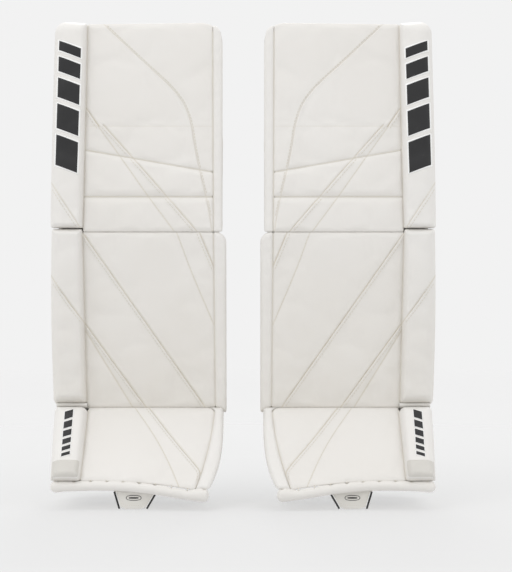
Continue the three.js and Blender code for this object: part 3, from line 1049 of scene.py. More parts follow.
def break_tucks(x, z, low, high):
    """Small creases where the skin is drawn into a break."""
    return 0.45 * noise(x, z * 0.35, 13, 4) * np.exp(-np.minimum(low, high) / 16)


def thigh_top(u):
    """The rise's top edge, which drops away at its inner corner."""
    return 332 - 2.5 * u - 4.5 * np.clip(1 - u / 0.1, 0, 1) ** 2


def roll_shoulder(u):
    """The top of the inner roll, rounded over to the pad's side."""
    return 303 + 24.5 * np.sqrt(1 - np.clip(1 - u, 0, 1) ** 2)


def inner_line(v):
    """The seam between the face and the inner roll, up the thigh."""
    return 47.2 + 1.2 * v


def between(line, low, high):
    """Part of a line that runs up the thigh, between two of its heights."""
    return lambda v: line((low + (high - low) * v) / THIGH_TOP)


def shin_inner_line(v):
    return 44.5 + 2.5 * v


def outer_line(v):
    """The seam between the face and the outer roll, up the thigh."""
    return 253.0 - 6.5 * np.power(v, 0.8)


def shin_outer_line(v):
    return 249.0 + 4.5 * v


def beside(line, gap):
    return lambda v: line(v) + gap


boot_inner_line = boot_edge(45.8, 73.6, 1.75, 9)
boot_outer_line = boot_edge(246.6, 251.3, 1.2)

# Gaps between neighbours at a seam and at a break, the radius of the cord in a seam and how
# far it stands out, and how much painted shade darkens the shin's skin towards the boot,
# where the shin leans to face a little downward.
SEAM_GAP, BREAK_GAP = 0.15, 0.2
CORD, CORD_PROUD = 0.8, 0.6
SHIN_SHADE = 0.2

# Heights above the knee break of the two seams that cross the thigh's face.
FACE_SEAM_LOW, FACE_SEAM_HIGH = 94.7, 129.7
ROLL_SEAM = 55.7

# The y of the outer rolls' fronts, how wide the rounded edges are at the two long sides of a
# face panel and of an outer roll, a face panel's corners, and the size of an inner roll's cells.
OUTER_FRONT = -18.5
FACE_EDGES, OUTER_EDGES = (5, 6), (9, 19)
FACE_CORNERS = (3, 3, 3, 3)
ROLL_MESH = 3.0


def face_panel(name, sides, ends, front, edges, crown, seams, **settings):
    """A panel of the face, sewn to a roll at each side. edges are its low and high ones."""
    return Panel(name, sides, ends, front, FACE_RIM, (*FACE_EDGES, *edges), FACE_CORNERS,
                 crown, seams=seams, **settings)


def outer_roll(name, sides, ends, rims, edges, corners, **settings):
    """A thick roll outside the face. rims and edges are its low and high ones."""
    return Panel(name, sides, ends, OUTER_FRONT, (FACE_RIM, FACE_RIM, *rims),
                 (*OUTER_EDGES, *edges), corners, swell=1.6, **settings)


def inner_roll(name, sides, ends, front, edges, corners, crown, swell):
    """A narrow roll inside the face."""
    return Panel(name, sides, ends, front, FACE_RIM, edges, corners, crown, swell=swell,
                 mesh=ROLL_MESH)


FACE = {
    "thigh": (THIGH, [
        face_panel("thigh_panel", (between(inner_line, FACE_SEAM_LOW, 323),
                                   between(outer_line, FACE_SEAM_HIGH, 330)),
                   (slope(FACE_SEAM_LOW, FACE_SEAM_HIGH), thigh_top),
                   -1.0, (8, 8), 1.5, THIGH_SEAMS, swell=1.6),
        face_panel("knee_roll_upper", (between(inner_line, ROLL_SEAM, FACE_SEAM_LOW),
                                       between(outer_line, ROLL_SEAM, FACE_SEAM_HIGH)),
                   (ROLL_SEAM, slope(FACE_SEAM_LOW - SEAM_GAP, FACE_SEAM_HIGH - SEAM_GAP)),
                   -2.6, (11, 10), 1.8, THIGH_SEAMS[:4], swell=1.8, tucks=break_tucks),
        face_panel("knee_roll_lower", (between(inner_line, 0, ROLL_SEAM),
                                       between(outer_line, 0, ROLL_SEAM)),
                   (BREAK_GAP, ROLL_SEAM - SEAM_GAP),
                   -2.6, (9, 11), 1.8, THIGH_SEAMS[:4], swell=1.8, tucks=break_tucks),
        inner_roll("inner_roll_thigh", (33, beside(inner_line, -SEAM_GAP)),
                   (BREAK_GAP, roll_shoulder), -2.8, (7, 5, 5, 5), (3, 3, 4, 2), 0.3, 0.5),
        outer_roll("outer_roll_thigh", (beside(outer_line, SEAM_GAP),
                                        lambda v: ROLL_OUTER + 1.5 - 6 * np.power(v, 1.5)),
                   (5.7, slope(330.5, 334)), (-4, FACE_RIM), (7, 17), (3, 5, 4, 20),
                   seams=ROLL_SEAMS, tucks=break_tucks),
    ]),
    "shin": (SHIN, [
        face_panel("shin_panel", (shin_inner_line, shin_outer_line),
                   (BREAK_GAP, SHIN_TOP - BREAK_GAP), -1.0, (8, 8), 1.5, SHIN_SEAMS,
                   swell=1.6, tucks=break_tucks),
        inner_roll("inner_roll_shin", (27, beside(shin_inner_line, -SEAM_GAP)),
                   (slope(-7, BREAK_GAP), SHIN_TOP - BREAK_GAP),
                   -3.4, (8, 6, 7, 7), (5, 3, 16, 3), 0.4, 0.6),
        outer_roll("outer_roll_shin", (beside(shin_outer_line, SEAM_GAP),
                                       lambda v: ROLL_OUTER - 0.5 + 2.5 * np.sin(3 * v)),
                   (BREAK + 4.5, SHIN_TOP + 5), (-4, -4), (7, 7), (5, 8, 3, 5),
                   seams=SHIN_SEAMS[3:4], tucks=break_tucks),
    ]),
    "boot": (BOOT, [
        face_panel("boot_panel", (boot_inner_line, boot_outer_line),
                   (toe_line, BOOT_TOP - BREAK_GAP), -1.0, (9, 8), 2.0, BOOT_SEAMS,
                   swell=1.8, tucks=gathers),
        outer_roll("outer_roll_boot", (beside(boot_outer_line, SEAM_GAP),
                                       boot_edge(299.5, 297)),
                   (10.5, BOOT_TOP - 0.5), (-3, -3), (9, 10), (4, 5, 12, 8), tucks=gathers),
        inner_roll("inner_roll_boot", (boot_edge(31.5, 52.5, 3.6),
                                       beside(boot_inner_line, -SEAM_GAP)),
                   (slope(-5, -6), BOOT_TOP - BREAK_GAP),
                   -5, (8, 5, 7, 7), (5, 3, 6, 3), 0.4, 0.6),
    ]),
}
PANELS = {}
for segment_place, segment_panels in FACE.values():
    for sewn in segment_panels:
        sewn.place = segment_place
        PANELS[sewn.name] = sewn

# ---------- the casings and what is behind them ----------


def backward(points):
    """Turns a piece round, so that its front faces the leg."""
    return points * np.array([1, -1, 1])


def quilt(x0, x1, z0, z1, across, height=1.0):
    """Seams over a lining: a border, and lines across it at the given heights."""
    border = [(x0, z0), (x1, z0), (x1, z1), (x0, z1), (x0, z0)]
    lines = [border] + [[(x0, low), (x1, high)] for low, high in across]
    return [Seam("quilt", line, height, (0,), 0.0, 0) for line in lines]


CUT = 3.4
CASINGS = {
    "thigh": ((35, 294), (CUT, THIGH_TOP - 8), (3, 3, 34, 14)),
    "shin": ((31, 294), (CUT, SHIN_TOP - CUT), (3, 3, 3, 3)),
    "boot": ((boot_edge(36, 61), slope(288, 292)), (BREAK, BOOT_TOP - CUT), (3, 3, 3, 3)),
}
LININGS = {
    "thigh": ((50, 238), (14, THIGH_TOP - 26), (4, 4, 24, 12),
              quilt(59, 229, 23, THIGH_TOP - 35, [(150, 176), (204, 230), (258, 284)])),
    "shin": ((60, 238), (14, SHIN_TOP - 14), (4, 4, 4, 4),
             quilt(69, 229, 23, SHIN_TOP - 23, [(70, 92), (138, 160), (206, 228)])),
    "boot": ((boot_edge(52, 76), slope(272, 276)), (12, BOOT_TOP - 12), (4, 4, 4, 4),
             [Seam("quilt", [(66, 70), (272, 82)], 1.0, (0,), 0.0, 0)]),
}
BACKS = {}
for back_body, (place, _) in FACE.items():
    sides, ends, corners = CASINGS[back_body]
    casing = Panel(f"{back_body}_casing", sides, ends, -CASING_BACK, -46, 8, corners,
                   crown=0.3, back=-CASING_FRONT, swell=0.4, mesh=7.0, bulge=1.6,
                   shape=backward, place=place, wave=0.4)
    sides, ends, corners, quilting = LININGS[back_body]
    lining = Panel(f"{back_body}_lining", sides, ends, -LINING_BACK + 0.7, -54.0, 5, corners,
                   crown=0.2, back=-51, seams=quilting, swell=0.4, mesh=6.0,
                   shape=backward, place=place, wave=0.3)
    BACKS[back_body] = (casing, lining)
KNEE_BLOCK = Panel("knee_block", (42, 98), (12, 118), -131, -120, 11, (9, 9, 9, 9), back=-57,
                   seams=[Seam("quilt", [(35, 65), (104, 65)], 1.6, (0,), 0.0, 0)],
                   bulge=2.2, shape=backward, place=KNEE_LEVEL)


def wing_panels(name, place, path, outward, z0, z1, thickness, slant, nose):
    """A wrap's outer shell and inner lining, back to back along a path seen from above, each
    quilted with a border and two slanting channels."""
    shape, length = along_path(path, outward)
    half = thickness / 2
    low, high = z0 + 10, z1 - 10
    third = (high - low) / 3
    seams = quilt(4, length - 4, low, high,
                  [(low + k * third - slant, low + k * third + slant) for k in (1, 2)], 0.9)
    return [Panel(name + suffix, (-half, length + half), (z0, z1), -half, -0.6, 6.5,
                  (7, nose, 7, nose), crown=0.2, back=0.4, seams=seams, swell=1.0, mesh=5.0,
                  shape=form, place=place)
            for suffix, form in (("", shape),
                                 ("_lining", lambda points: shape(backward(points))))]


WINGS = {
    name: (body, *wing_panels(name, *settings))
    for name, body, *settings in (
        ("knee_wing", "knee_wrap", KNEE_LEVEL,
         hook(WING_X, WING_Y, *KNEE_WRAP, 190, 1), -1, 18, 108, 14, 4, 16),
        ("outer_calf_wing", "outer_calf_wrap", SHIN_LEVEL,
         hook(WING_X, WING_Y, *CALF_WRAP, 156, 1), -1, 14, 205, 14, 8, 18),
        ("inner_calf_wing", "inner_calf_wrap", SHIN_LEVEL,
         hook(43, 114.6, 156, 41.4, 134, -1), 1, 14, 205, 12, 8, 18),
    )
}


def seam_cords(segment):
    """Paths of the cords sewn into a segment's seams, in its x and z."""
    def up(line, low, high):
        v = np.linspace(0, 1, 40)
        return np.stack([line(v), low + (high - low) * v], 1)

    if segment == "thigh":
        return [up(inner_line, 1, 318), up(outer_line, 6, 327),
                np.array([(49, FACE_SEAM_LOW), (250, FACE_SEAM_HIGH)], float),
                np.array([(49, ROLL_SEAM), (251, ROLL_SEAM)], float)]
    if segment == "shin":
        return [up(shin_inner_line, 2, SHIN_TOP - 2), up(shin_outer_line, 7, SHIN_TOP - 1)]
    return [up(boot_inner_line, -3, BOOT_TOP - 2), up(boot_outer_line, 14, BOOT_TOP - 5)]


def build_face():
    for body, (place, panels) in FACE.items():
        cords = []
        for line in seam_cords(body):
            line = resample(line, OUTLINE_STEP)
            depth = FACE_RIM - CORD - CORD_PROUD + 0.25 * noise(line[:, 0], line[:, 1], 21, 2)
            path = np.column_stack([line[:, 0], depth, line[:, 1]])
            cords.append(sweep(path, circle(CORD, 8), (0, 1, 0)))
        points, faces = merge(cords)
        add_pair(f"{body}_seam_cord", (place.tip(points), faces), CORD_SKIN, place, body,
                 "skin")
        for panel in panels:
            skin = ROLL_SKIN if "er_roll_" in panel.name else SKIN
            add_panel(panel, skin, body, "skin", [panel.name])
        add_threads(f"{body}_stitching", panel_threads(panels), place, body)


def ring_tube(panel, inset, depth, radius, squash=1.0):
    """A bead round a panel's outline, at a depth in its flat frame."""
    line = resample(panel.outline(inset), OUTLINE_STEP, closed=True)
    path = np.column_stack([line[:, 0], np.full(len(line), depth), line[:, 1]])
    points, faces = sweep(path, circle(radius, 8, squash), (0, 1, 0), closed=True)
    return panel.place_points(points), faces


def build_backs():
    for body, (casing, lining) in BACKS.items():
        add_panel(casing, SKIN, body, "casing", [f"{body}_casing"])
        add_panel(lining, DARK_NYLON, body, "lining")
        add_pair(f"{body}_piping", ring_tube(casing, 4.0, -CASING_BACK + 1.2, 2.1), PIPING,
                 casing.place, body, "casing")
        add_pair(f"{body}_lining_binding", ring_tube(lining, 1.0, -54.0, 2.0, 0.9), WEBBING,
                 casing.place, body, "webbing")
        add_threads(f"{body}_back_stitching", panel_threads([lining]), casing.place, body,
                    "lining", DARK_THREAD)
    add_panel(KNEE_BLOCK, LINING, "thigh", "lining", ["knee_block"])
    add_pair("knee_block_piping", ring_tube(KNEE_BLOCK, 0.6, -119, 2.2), WEBBING, KNEE_LEVEL,
             "thigh", "webbing")
    add_threads("knee_block_stitching", panel_threads([KNEE_BLOCK]), KNEE_LEVEL, "thigh",
                "lining", DARK_THREAD)


def build_wings():
    for name, (body, shell, inner) in WINGS.items():
        place = shell.place
        add_panel(shell, DARK_NYLON, body, "lining", [name])
        add_panel(inner, LINING, body, "lining")
        add_pair(f"{name}_binding", ring_tube(shell, 0.0, 0.0, 2.6, 0.9), WEBBING, place,
                 body, "webbing")
        add_threads(f"{name}_stitching", panel_threads([shell, inner]), place, body,
                    "lining", DARK_THREAD)


# ---------- straps ----------


# Webbing: its thickness, how far in its ribs start, their number and its slight wave.
STRAP_THICK, SELVEDGE, RIBS, STRAP_WAVE = 2.5, 2.5, 12, 0.3


def add_ribbon(name, path, z0, z1, place, body, node):
    """Ribbed webbing along a path seen from above, with a bead along each selvedge."""
    path = resample(path, PATH_STEP)
    half, tall = STRAP_THICK / 2, (z1 - z0) / 2
    ribs = np.linspace(SELVEDGE - tall, tall - SELVEDGE, RIBS + 1)
    heights = np.concatenate([[-tall, 1.6 - tall], ribs, [tall - 1.6, tall]])
    widths = np.full(RIBS + 1, 0.8) + 0.12 * np.cos(np.arange(RIBS + 1) * math.pi)
    widths = half * np.concatenate([[0.7, 1], widths, [1, 0.7]])
    section = np.vstack([np.column_stack([-widths, heights]),
                         np.column_stack([widths, heights])[::-1]])
    s = distances(path)
    middle = (z0 + z1) / 2 + STRAP_WAVE * np.sin(s / 37.0)
    points, faces = sweep(np.column_stack([path, middle]), section, (0, 0, 1))
    weave = np.column_stack([np.repeat(s, len(section)), points[:, 2]]) * MM
    add_pair(name, (points, faces), WEBBING, place, body, "webbing", [node], weave=weave)


RIVET_RADIUS, RIVET_RISE = 5.0, 2.0


def rivet(at, out):
    """A domed rivet head that faces out along x."""
    profile = [(-1.5, 0.9)]
    profile += [(RIVET_RISE * math.sin(t), math.cos(t)) for t in np.linspace(0, 1.4, 7)]
    ring = circle(RIVET_RADIUS, 22)
    return loft(np.stack([
        np.column_stack([np.full(len(ring), at[0] + out * lift), at[1:] + size * ring])
        for lift, size in profile]))


def box_stitch(path, start, end, z0, z1):
    """A crossed box of stitches on a strap, between two distances along its path."""
    shape = along_path(path, -1)[0]
    corners = [(start, z0), (end, z0), (end, z1), (start, z1), (start, z0), (end, z1)]
    flat = resample(np.array(corners, float), 1.0)
    line, ahead = [shape(np.column_stack([flat[:, 0], np.full(len(flat), -out), flat[:, 1]]))
                   for out in (1.35, 2.35)]
    return stitch_run(line, ahead - line, 4.0, 2.8, 0.4)


def box_stitches(name, path, inset, reach, back, z0, z1, place, body):
    """A crossed box at each end of a strap: from inset to reach along it, and from back to
    inset before its end."""
    length = distances(path)[-1]
    add_threads(name + "_stitching",
                [box_stitch(path, inset, reach, z0, z1),
                 box_stitch(path, length - back, length - inset, z0, z1)],
                place, body, "webbing", DARK_THREAD)


BOOT_STRAP_SIDES, BOOT_STRAP_BACK, BOOT_STRAP_BEND = (56.15, 285.85), 170, 40


def build_straps():
    def strap_hook(wrap, end_x):
        return hook(WING_X + STRAP_OUT, STRAP_START, *(size + STRAP_OUT for size in wrap),
                    end_x, 1)

    knee = np.vstack([strap_hook(KNEE_WRAP, 132),
                      smooth_line([(132, 148.85), (112, 143), (92, 137.5), (72, 136.4),
                                   (46, 136.4)], 2)[1:]])
    calf = strap_hook(CALF_WRAP, 84)
    for name, path, place, body, z0, z1 in (
            ("knee_strap", knee, KNEE_LEVEL, "knee_wrap", 44, 82),
            ("calf_strap", calf, SHIN_LEVEL, "outer_calf_wrap", 92, 142)):
        add_ribbon(name + "_webbing", path, z0, z1, place, body, name)
        box_stitches(name, path, 6, 34, 30, z0 + 6, z1 - 6, place, body)
    low, high = BOOT_STRAP_SIDES
    halves = [hook(x, STRAP_START, BOOT_STRAP_BACK, BOOT_STRAP_BEND, (low + high) / 2, turn)
              for x, turn in ((high, 1), (low, -1))]
    path = np.vstack([halves[0][:-1], halves[1][:-1][::-1]])
    add_ribbon("boot_strap_webbing", path, 64, 89, LEVEL, "boot", "boot_strap")
    rivets = [rivet(np.array([x + out * 1.2, y, 76.5]), out)
              for x, out in ((high, 1), (low, -1)) for y in (93, 110)]
    add_pair("boot_strap_rivets", merge(rivets), METAL, LEVEL, "boot", "buckle")
    box_stitches("boot_strap", path, 5, 27, 27, 68, 85, LEVEL, "boot")


# ---------- the boot's underside ----------


def side_block(name, outline, x0, x1, material, place, body, slot, node, **settings):
    """A block drawn from the side, its outline in y and z."""
    block = Block(outline, x0, x1, **settings)
    add_block(name, block, FROM_SIDE, material, place, body, slot, [node])
    threads = [stitch_run(block.face(block.channel, top)[:, FROM_SIDE],
                          np.array([1.0 if top else -1.0, 0, 0]), closed=True)
               for top in (True, False)]
    add_threads(name + "_stitching", threads, place, body, slot)


def build_side_pieces():
    edge = [(57.2, -2), (108, 4), (108, 224), (57.2, 256)]
    side_block("slide_edge_pad", edge, 30, 56, SLIDE_SKIN, SHIN_LEVEL, "shin", "slide_edge",
               "slide_edge", edge=4.5, crown=0.5, channel=8.5, dip=0.7)
    wall = [(24, 22), (126, 22), (132, 66), (108, 118), (76, 115), (9, 39), (9, 30)]
    for name, x0, x1, skin, slot in (
            ("boot_wall_outer", 262, 284, SKIN, "casing"),
            ("boot_wall_inner", 58, 80, SLIDE_SKIN, "slide_edge")):
        side_block(name + "_pad", wall, x0, x1, skin, LEVEL, "boot", slot, name, edge=4.5,
                   crown=1.2, channel=9.0)


WELT = [(297, 4), (270, 5), (220, 6.5), (180, 5), (145, 0.5), (107, -6.5), (76, -13),
        (52, -14.5)]
WELT_RADIUS, WELT_DEPTH, WELT_STEP = 7.6, 5.0, 1.5


def build_welt():
    """The stuffed welt along the boot's lower edge, gathered at each of its stitches."""
    line = resample(smooth_line(WELT), WELT_STEP)
    s = np.arange(len(line)) * WELT_STEP
    length = s[-1]
    turn = np.linspace(0, 2 * math.pi, 30, endpoint=False)
    gather = 2 * math.pi * (line[:, 0] - GATHER_START) / GATHER_PITCH
    pinch = (0.5 + 0.5 * np.cos(gather)) ** 8
    ends = arch(np.minimum(s, length - s) / 9)
    heel = smoothstep((86 - line[:, 0]) / 24)
    line[:, 1] += 2.6 * heel
    plump = 1.02 + 0.4 * heel + 0.18 * smoothstep((line[:, 0] - 272) / 16)
    puff = WELT_RADIUS * ends * plump * (1 + 0.05 * noise(s, 0 * s, 30, 5))
    rings = []
    for k, a in enumerate(turn):
        facing = max(0.0, math.cos(a - 0.6)) ** 3
        wrinkle = 0.3 * noise(s, 0 * s + 9 * k, 9, 2)
        radius = puff * (1 - 0.24 * pinch * facing) + wrinkle * ends
        rings.append(np.stack([radius * math.cos(a), radius * math.sin(a)], 1))
    offset = np.stack(rings, 1)
    points = np.stack([
        np.broadcast_to(line[:, :1], offset.shape[:2]),
        WELT_DEPTH - offset[..., 1], line[:, 1:] + offset[..., 0]], -1)
    # Painted shade in the puckers, on the upper front of the welt where each stitch pinches it.
    dirt = np.outer(0.9 * pinch, np.exp(-((turn - 0.5) / 0.35) ** 2)).ravel()
    add_pair("toe_welt_roll", loft(points), SKIN, BOOT, "boot", "skin", ["toe_welt"],
             dirt)
    threads = []
    for x in np.arange(GATHER_START, WELT[0][0], GATHER_PITCH):
        k = int(np.argmin(np.abs(line[:, 0] - x)))
        foot = [[x, WELT_DEPTH - 0.6 * puff[k], line[k, 1] + 0.65 * puff[k]]]
        head = [[x + 0.4, WELT_DEPTH - 0.52 * puff[k], line[k, 1] + 1.25 * puff[k]]]
        threads.append(stitch_bodies(np.array(foot), np.array(head),
                                     np.array([[0, -0.8, 0.6]]), 0.8))
    add_threads("welt_stitching", threads, BOOT, "boot")


# The toe tab's front and back, its sides at its foot and at its widest, and that height.
TAB_FRONT, TAB_BACK = -56.0, -50.7
TAB_FOOT, TAB_WIDEST, TAB_HEIGHT = (147, 193), (132, 200.5), 27
TAB_CHANNEL = 5.6
BADGE_X, BADGE_Z = 169, 17.5


def build_tab():
    """The stiff tab under the middle of the welt, with bound edges and a plain badge."""
    outline = [(TAB_FOOT[0], 0.3), (TAB_FOOT[1], 0.3), (TAB_WIDEST[1], TAB_HEIGHT),
               (198, 34.5), (135, 34.5), (TAB_WIDEST[0], TAB_HEIGHT)]
    tab = Block(outline, TAB_FRONT, TAB_BACK, edge=1.0, crown=0.2, corner=1, bulge=0.2,
                step=1.5, channel=TAB_CHANNEL, dip=0.25)
    add_block("toe_tab_body", tab, FROM_FRONT, TAB_SKIN, LEVEL, "boot", "tab", ["toe_tab"])
    for name, material, inset, width in (("toe_tab_edges", INK, 1.5, 1.5),
                                         ("toe_tab_lines", INK_EDGE, 3.7, 0.7)):
        parts = []
        for foot, head, sign in zip(TAB_FOOT, TAB_WIDEST, (1, -1)):
            path = resample([(foot + sign * (inset + 0.4), TAB_FRONT, 0.8),
                             (head + sign * inset, TAB_FRONT, TAB_HEIGHT)], 1.5)
            parts.append(sweep(path, circle(width, 8, 0.45), (0, 1, 0)))
        add_pair(name, merge(parts), material, LEVEL, "boot", "tab")
    for name, material, half, tall, lift in (("toe_tab_badge", INK, 13, 4.2, 0.4),
                                             ("toe_tab_badge_face", TAB_SKIN, 11.8, 3.2, 0.7),
                                             ("toe_tab_badge_bar", INK, 8.0, 1.2, 0.9)):
        short = half - tall
        shape = [(BADGE_X + x, BADGE_Z + z)
                 for x, z in ((-half, 0), (-short, tall), (short, tall), (half, 0),
                              (short, -tall), (-short, -tall))]
        badge = Block(shape, TAB_FRONT - lift, TAB_FRONT + 0.6, edge=0.25, crown=0.1,
                      corner=1, bulge=0, step=0.8)
        add_block(name, badge, FROM_FRONT, material, LEVEL, "boot", "tab")
    stitches = stitch_run(tab.face(TAB_CHANNEL, False)[:, FROM_FRONT],
                          np.array([0, -1.0, 0]), 3.4, 2.2, 0.28, closed=True)
    add_threads("toe_tab_stitching", [stitches], LEVEL, "boot", "tab")


def build_buckle():
    """A lever that clamps the boot strap, with a thumb tab, ribs and a pin."""
    outline = [(200, 62.5), (236, 62.5), (240, 66), (240, 87), (236, 90.5), (200, 90.5),
               (197.5, 86), (197.5, 67)]
    lever = Block(outline, 172.8, 177.2, edge=1.6, crown=0.8, bulge=0.2, step=1.5,
                  channel=5.0, dip=0.5)
    parts = [lever.build()]
    for x in (203, 207, 211, 215):
        path = np.array([(x, z, 177.2) for z in np.linspace(69, 84, 9)])
        parts.append(sweep(path, circle(1.0, 8, 0.9), (0, 0, 1)))
    points, faces = merge(parts)
    pin = sweep(np.array([(237, 174.8, z) for z in np.linspace(61.8, 91.2, 9)]),
                circle(2.2, 14), (0, 1, 0))
    add_pair("buckle_lever_body", (points[:, FROM_FRONT], faces), PLASTIC, LEVEL,
             "boot_buckle", "buckle", ["buckle_lever"])
    add_pair("buckle_pin", pin, METAL, LEVEL, "boot_buckle", "buckle")
    base = Block([(196, 61.5), (241, 61.5), (241, 91.5), (196, 91.5)], 171.3, 172.5,
                 edge=0.5, crown=0.1, bulge=0.1, step=2.0)
    add_block("buckle_base", base, FROM_FRONT, PLASTIC, LEVEL, "boot", "buckle")


# ---------- marks ----------


def bar(x0, x1, z0, z1, slant, lean, grow=0.0):
    """A slanting bar's corners, grown on every side. Lower bars lean outward."""
    low, high = lean * (1 - z0 / THIGH_TOP), lean * (1 - z1 / THIGH_TOP)
    return [(x0 + low - grow, z0 - grow - slant / 2), (x1 + low + grow, z0 - grow + slant / 2),
            (x1 + high + grow, z1 + grow + slant / 2),
            (x0 + high - grow, z1 + grow - slant / 2)]


ROLL_BARS = [(98, 146), (156, 195), (205, 236), (246, 269), (279, 294)]
BOOT_BARS = [(52, 58), (63, 71), (76, 86), (91, 103), (108, 122), (127, 143)]


def build_marks():
    roll, boot = PANELS["outer_roll_thigh"], PANELS["outer_roll_boot"]
    for name, panel, body, bars, x0, x1, slant, lean, grow in (
            ("roll_mark", roll, "thigh", ROLL_BARS, 254, 288.5, 13, 9, 2.2),
            ("boot_mark", boot, "boot", BOOT_BARS, 268, 281, -5, 0, 1.2)):
        ink = [patch(panel, bar(x0, x1, z0, z1, slant, lean), 0.75) for z0, z1 in bars]
        edge = [patch(panel, bar(x0, x1, z0, z1, slant, lean, grow), 0.35)
                for z0, z1 in bars]
        add_pair(name, merge(ink), INK, panel.place, body, "skin")
        add_pair(name + "_outline", merge(edge), INK_EDGE, panel.place, body, "skin")
    toe = [(253.5, 11), (295, 11), (295.5, 43), (253, 43)]
    add_pair("toe_patch", patch(boot, toe, 0.15), TOE_SKIN, boot.place, "boot", "skin")


# ---------- fabric over the breaks ----------

SHEET_STEP, SHEET_COLUMNS = 1.6, 60
FOLD_FRONT, FOLD_BACK, FOLD_REACH = 14.6, 45.5, 6


def across(profile, x0, x1):
    """A rippled strip as a grid of points: a profile of world (y, z), carried from x0 to x1."""
    line = resample(smooth_line(profile, 2), SHEET_STEP * MM)
    normal = left_of(unit(np.gradient(line, axis=0)))
    s = np.arange(len(line)) * SHEET_STEP
    rows = []
    for x in np.linspace(x0, x1, SHEET_COLUMNS):
        wave = noise(np.full(len(line), x), s, 14, 3) * 0.5 * MM
        rows.append(np.column_stack([np.full(len(line), x * MM), line + normal * wave[:, None]]))
    return np.stack(rows)


def add_bridge(name, grid, thickness, bodies, material, slot, rests):
    """A sheet across a break, given as a grid of world points, made with a thickness for each
    pad and fixed in the world."""
    along, over = np.gradient(grid, axis=0), np.gradient(grid, axis=1)
    half = unit(np.cross(along, over)) * thickness * MM / 2
    points, faces = loft(np.concatenate([grid + half, (grid - half)[:, ::-1]], 1))
    flat = [float(np.linalg.norm(np.diff(grid, axis=k), axis=2).sum(k).mean())
            for k in (0, 1)]
    for side, sign in SIDES.items():
        mirrored = points * np.array([sign, 1, 1])
        obj = mesh_object(f"{side}_{name}", mirrored, faces, material)
        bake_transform(obj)


def build_bridges():
    """Leather folded into each break, behind the face, at the sides and between the rolls,
    and an elastic gusset that closes the break at the back."""
    for joint, low, high, top, bodies, up, reach, sides in (
            (KNEE, SHIN, THIGH, SHIN_TOP, ("shin", "thigh"), SHIN_UP + THIGH_UP, 9,
             (38.5, 290.5)),
            (ANKLE, BOOT, SHIN, BOOT_TOP, ("boot", "shin"), BOOT_UP + SHIN_UP, 4,
             (40, 288))):
        (front_low, back_low), (front_high, back_high) = low.ends[1], high.ends[0]

        def below(y, offset):
            lean = y * (front_low if y < 0 else back_low)
            return low.world([(0, y, top + lean - offset)])[0, 1:]

        def above(y, offset):
            lean = y * (front_high if y < 0 else back_high)
            return high.world([(0, y, lean + offset)])[0, 1:]

        def middle(y):
            return (below(y, 0) + above(y, 0)) / 2

        def side_fold(x, sink):
            """A fold at a pad's side, drawn in from x towards the middle of the pad."""
            rows = []
            for y in np.linspace(FOLD_FRONT, FOLD_BACK, 22):
                depth = sink * (1 + 0.3 * noise(np.array(y), np.array(x), 9, 3))
                rows.append([
                    ((x + depth * (1 - t * t)) * MM,
                     *(below(y, -FOLD_REACH * t) if t < 0 else above(y, FOLD_REACH * t)))
                    for t in np.linspace(-1, 1, 15)])
            return np.array(rows)

        front = [below(13.9, 6), below(13.9, 0.85), below(2.4, 0.25), middle(0.4),
                 above(2.4, 0.25), above(13.9, 0.85), above(13.9, 6)]
        back = [below(46, 4), below(44.5, 0.4), middle(42), above(44.5, 0.4), above(46, 4)]
        name = f"{bodies[0]}_{bodies[1]}"
        sheets = [("fold", across(front, 38, 292), 0.4, PIPING, "skin"),
                  ("gusset", across(back, 40, 286), 0.7, DARK_NYLON, "lining"),
                  ("inner_side_fold", side_fold(sides[0], 4), 0.8, SKIN, "skin"),
                  ("outer_side_fold", side_fold(sides[1], -4), 0.8, SKIN, "skin")]
        if bodies[0] == "boot":
            tongue = [below(1, 0.2), below(-6, 0.2), (below(-8.5, -1.5) + above(-8.5, 3.5)) / 2,
                      above(-6, 5.4), above(1, 5.4)]
            sheets.append(("roll_fold", across(tongue, 247.6, 296.5), 0.5, PIPING, "skin"))
        for kind, grid, thickness, material, slot in sheets:
            add_bridge(f"{name}_{kind}", grid, thickness, bodies,
                       material, slot, [f"{body}_casing_skin" for body in bodies])


# ---------- making everything ----------

everything = list(PANELS.values()) + [KNEE_BLOCK]
everything += [p for pair in BACKS.values() for p in pair]
everything += [p for wing in WINGS.values() for p in wing[1:]]
inflate(everything)
build_face()
build_marks()
build_backs()
build_wings()
build_straps()
build_side_pieces()
build_welt()
build_tab()
build_buckle()
build_bridges()
for node_name, node in frame["nodes"].items():
    if node_name.endswith("_core"):
        node.data.materials.clear()
        node.data.materials.append(FOAM)

# ---------- stage, light and camera ----------

# The background's strength, the heights of view between which it grows, and by how much.
BACKGROUND, SKY_LOW, SKY_HIGH, SKY_GAIN = 0.888, 0.15, 0.9, 1.35
# The floor's size and how far it lies below the pads in metres, its grey, how much it covers
# the background, and the distances over which it fades out.
FLOOR_SIZE, FLOOR_DROP = 60, 0.0005
FLOOR, FLOOR_COVER = 0.66, 0.42
FLOOR_NEAR, FLOOR_FAR = 0.8, 5.0


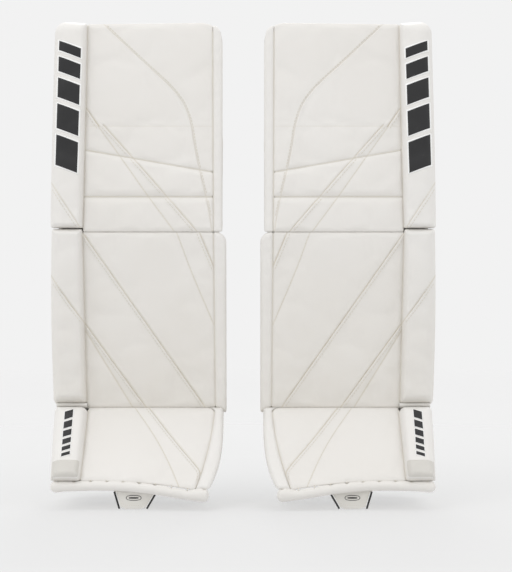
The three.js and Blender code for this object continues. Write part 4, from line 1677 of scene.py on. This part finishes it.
def build_stage():
    """A pale floor that fades into the background away from the pads, and a pale world."""
    bpy.ops.mesh.primitive_plane_add(size=FLOOR_SIZE, location=(0, 0, -FLOOR_DROP))
    floor = bpy.context.object
    floor.name = "floor"
    n = Nodes("floor_paint", (FLOOR,) * 3, 0.9)
    n.paint(n.mix(n.range(n.noise(1.5, 2), 0.3, 0.7, 0.0, 0.1), (FLOOR,) * 3,
                  (FLOOR - 0.01,) * 3))
    away = n.add("ShaderNodeVectorMath", {0: n.place}, operation="LENGTH").outputs["Value"]
    cover = n.range(away, FLOOR_NEAR, FLOOR_FAR, FLOOR_COVER, 0.0)
    n.tree.links.new(cover, n.shader.inputs["Alpha"])
    floor.data.materials.append(n.material)
    world = bpy.data.worlds.new("studio")
    bpy.context.scene.world = world
    world.use_nodes = True
    tree = world.node_tree
    background = tree.nodes["Background"]
    coordinates = tree.nodes.new("ShaderNodeTexCoord")
    split = tree.nodes.new("ShaderNodeSeparateXYZ")
    tree.links.new(coordinates.outputs["Generated"], split.inputs[0])
    ramp = tree.nodes.new("ShaderNodeMapRange")
    for socket, value in (("From Min", SKY_LOW), ("From Max", SKY_HIGH),
                          ("To Min", BACKGROUND), ("To Max", BACKGROUND * SKY_GAIN)):
        ramp.inputs[socket].default_value = value
    tree.links.new(split.outputs["Z"], ramp.inputs["Value"])
    tree.links.new(ramp.outputs["Result"], background.inputs["Strength"])
    background.inputs["Color"].default_value = (1, 1, 1, 1)


def add_light(name, at, target, size, watts):
    data = bpy.data.lights.new(name, "AREA")
    data.shape = "RECTANGLE"
    data.size, data.size_y = size
    data.energy = watts
    light = bpy.data.objects.new(name, data)
    light.location = at
    light.rotation_euler = (Vector(target) - Vector(at)).to_track_quat("-Z", "Y").to_euler()
    bpy.context.scene.collection.objects.link(light)


# Metres: the camera's place in front of the pads, and the width and distance of what fills
# its picture. SENSOR is in millimetres.
VIEW_DISTANCE, VIEW_HEIGHT, VIEW_ACROSS = 3.05, 0.345, 0.020
FRAME_WIDTH, FRAME_DISTANCE = 0.807, VIEW_DISTANCE - 0.05
SENSOR = 36


def build_camera():
    data = bpy.data.cameras.new("camera")
    data.sensor_fit = "HORIZONTAL"
    data.sensor_width = SENSOR
    data.lens = SENSOR * FRAME_DISTANCE / FRAME_WIDTH
    camera = bpy.data.objects.new("camera", data)
    camera.location = (VIEW_ACROSS, -VIEW_DISTANCE, VIEW_HEIGHT)
    camera.rotation_euler = (math.pi / 2, 0, 0)
    bpy.context.scene.collection.objects.link(camera)
    bpy.context.scene.camera = camera


build_stage()
add_light("key", (-1.3, -1.6, 2.6), (0, 0, 0.5), (1.4, 1.4), 9)
add_light("back", (0.1, 2.6, 3.2), (0, -0.2, 0.2), (1.0, 1.0), 24)
build_camera()
bpy.context.scene.view_settings.view_transform = "Standard"
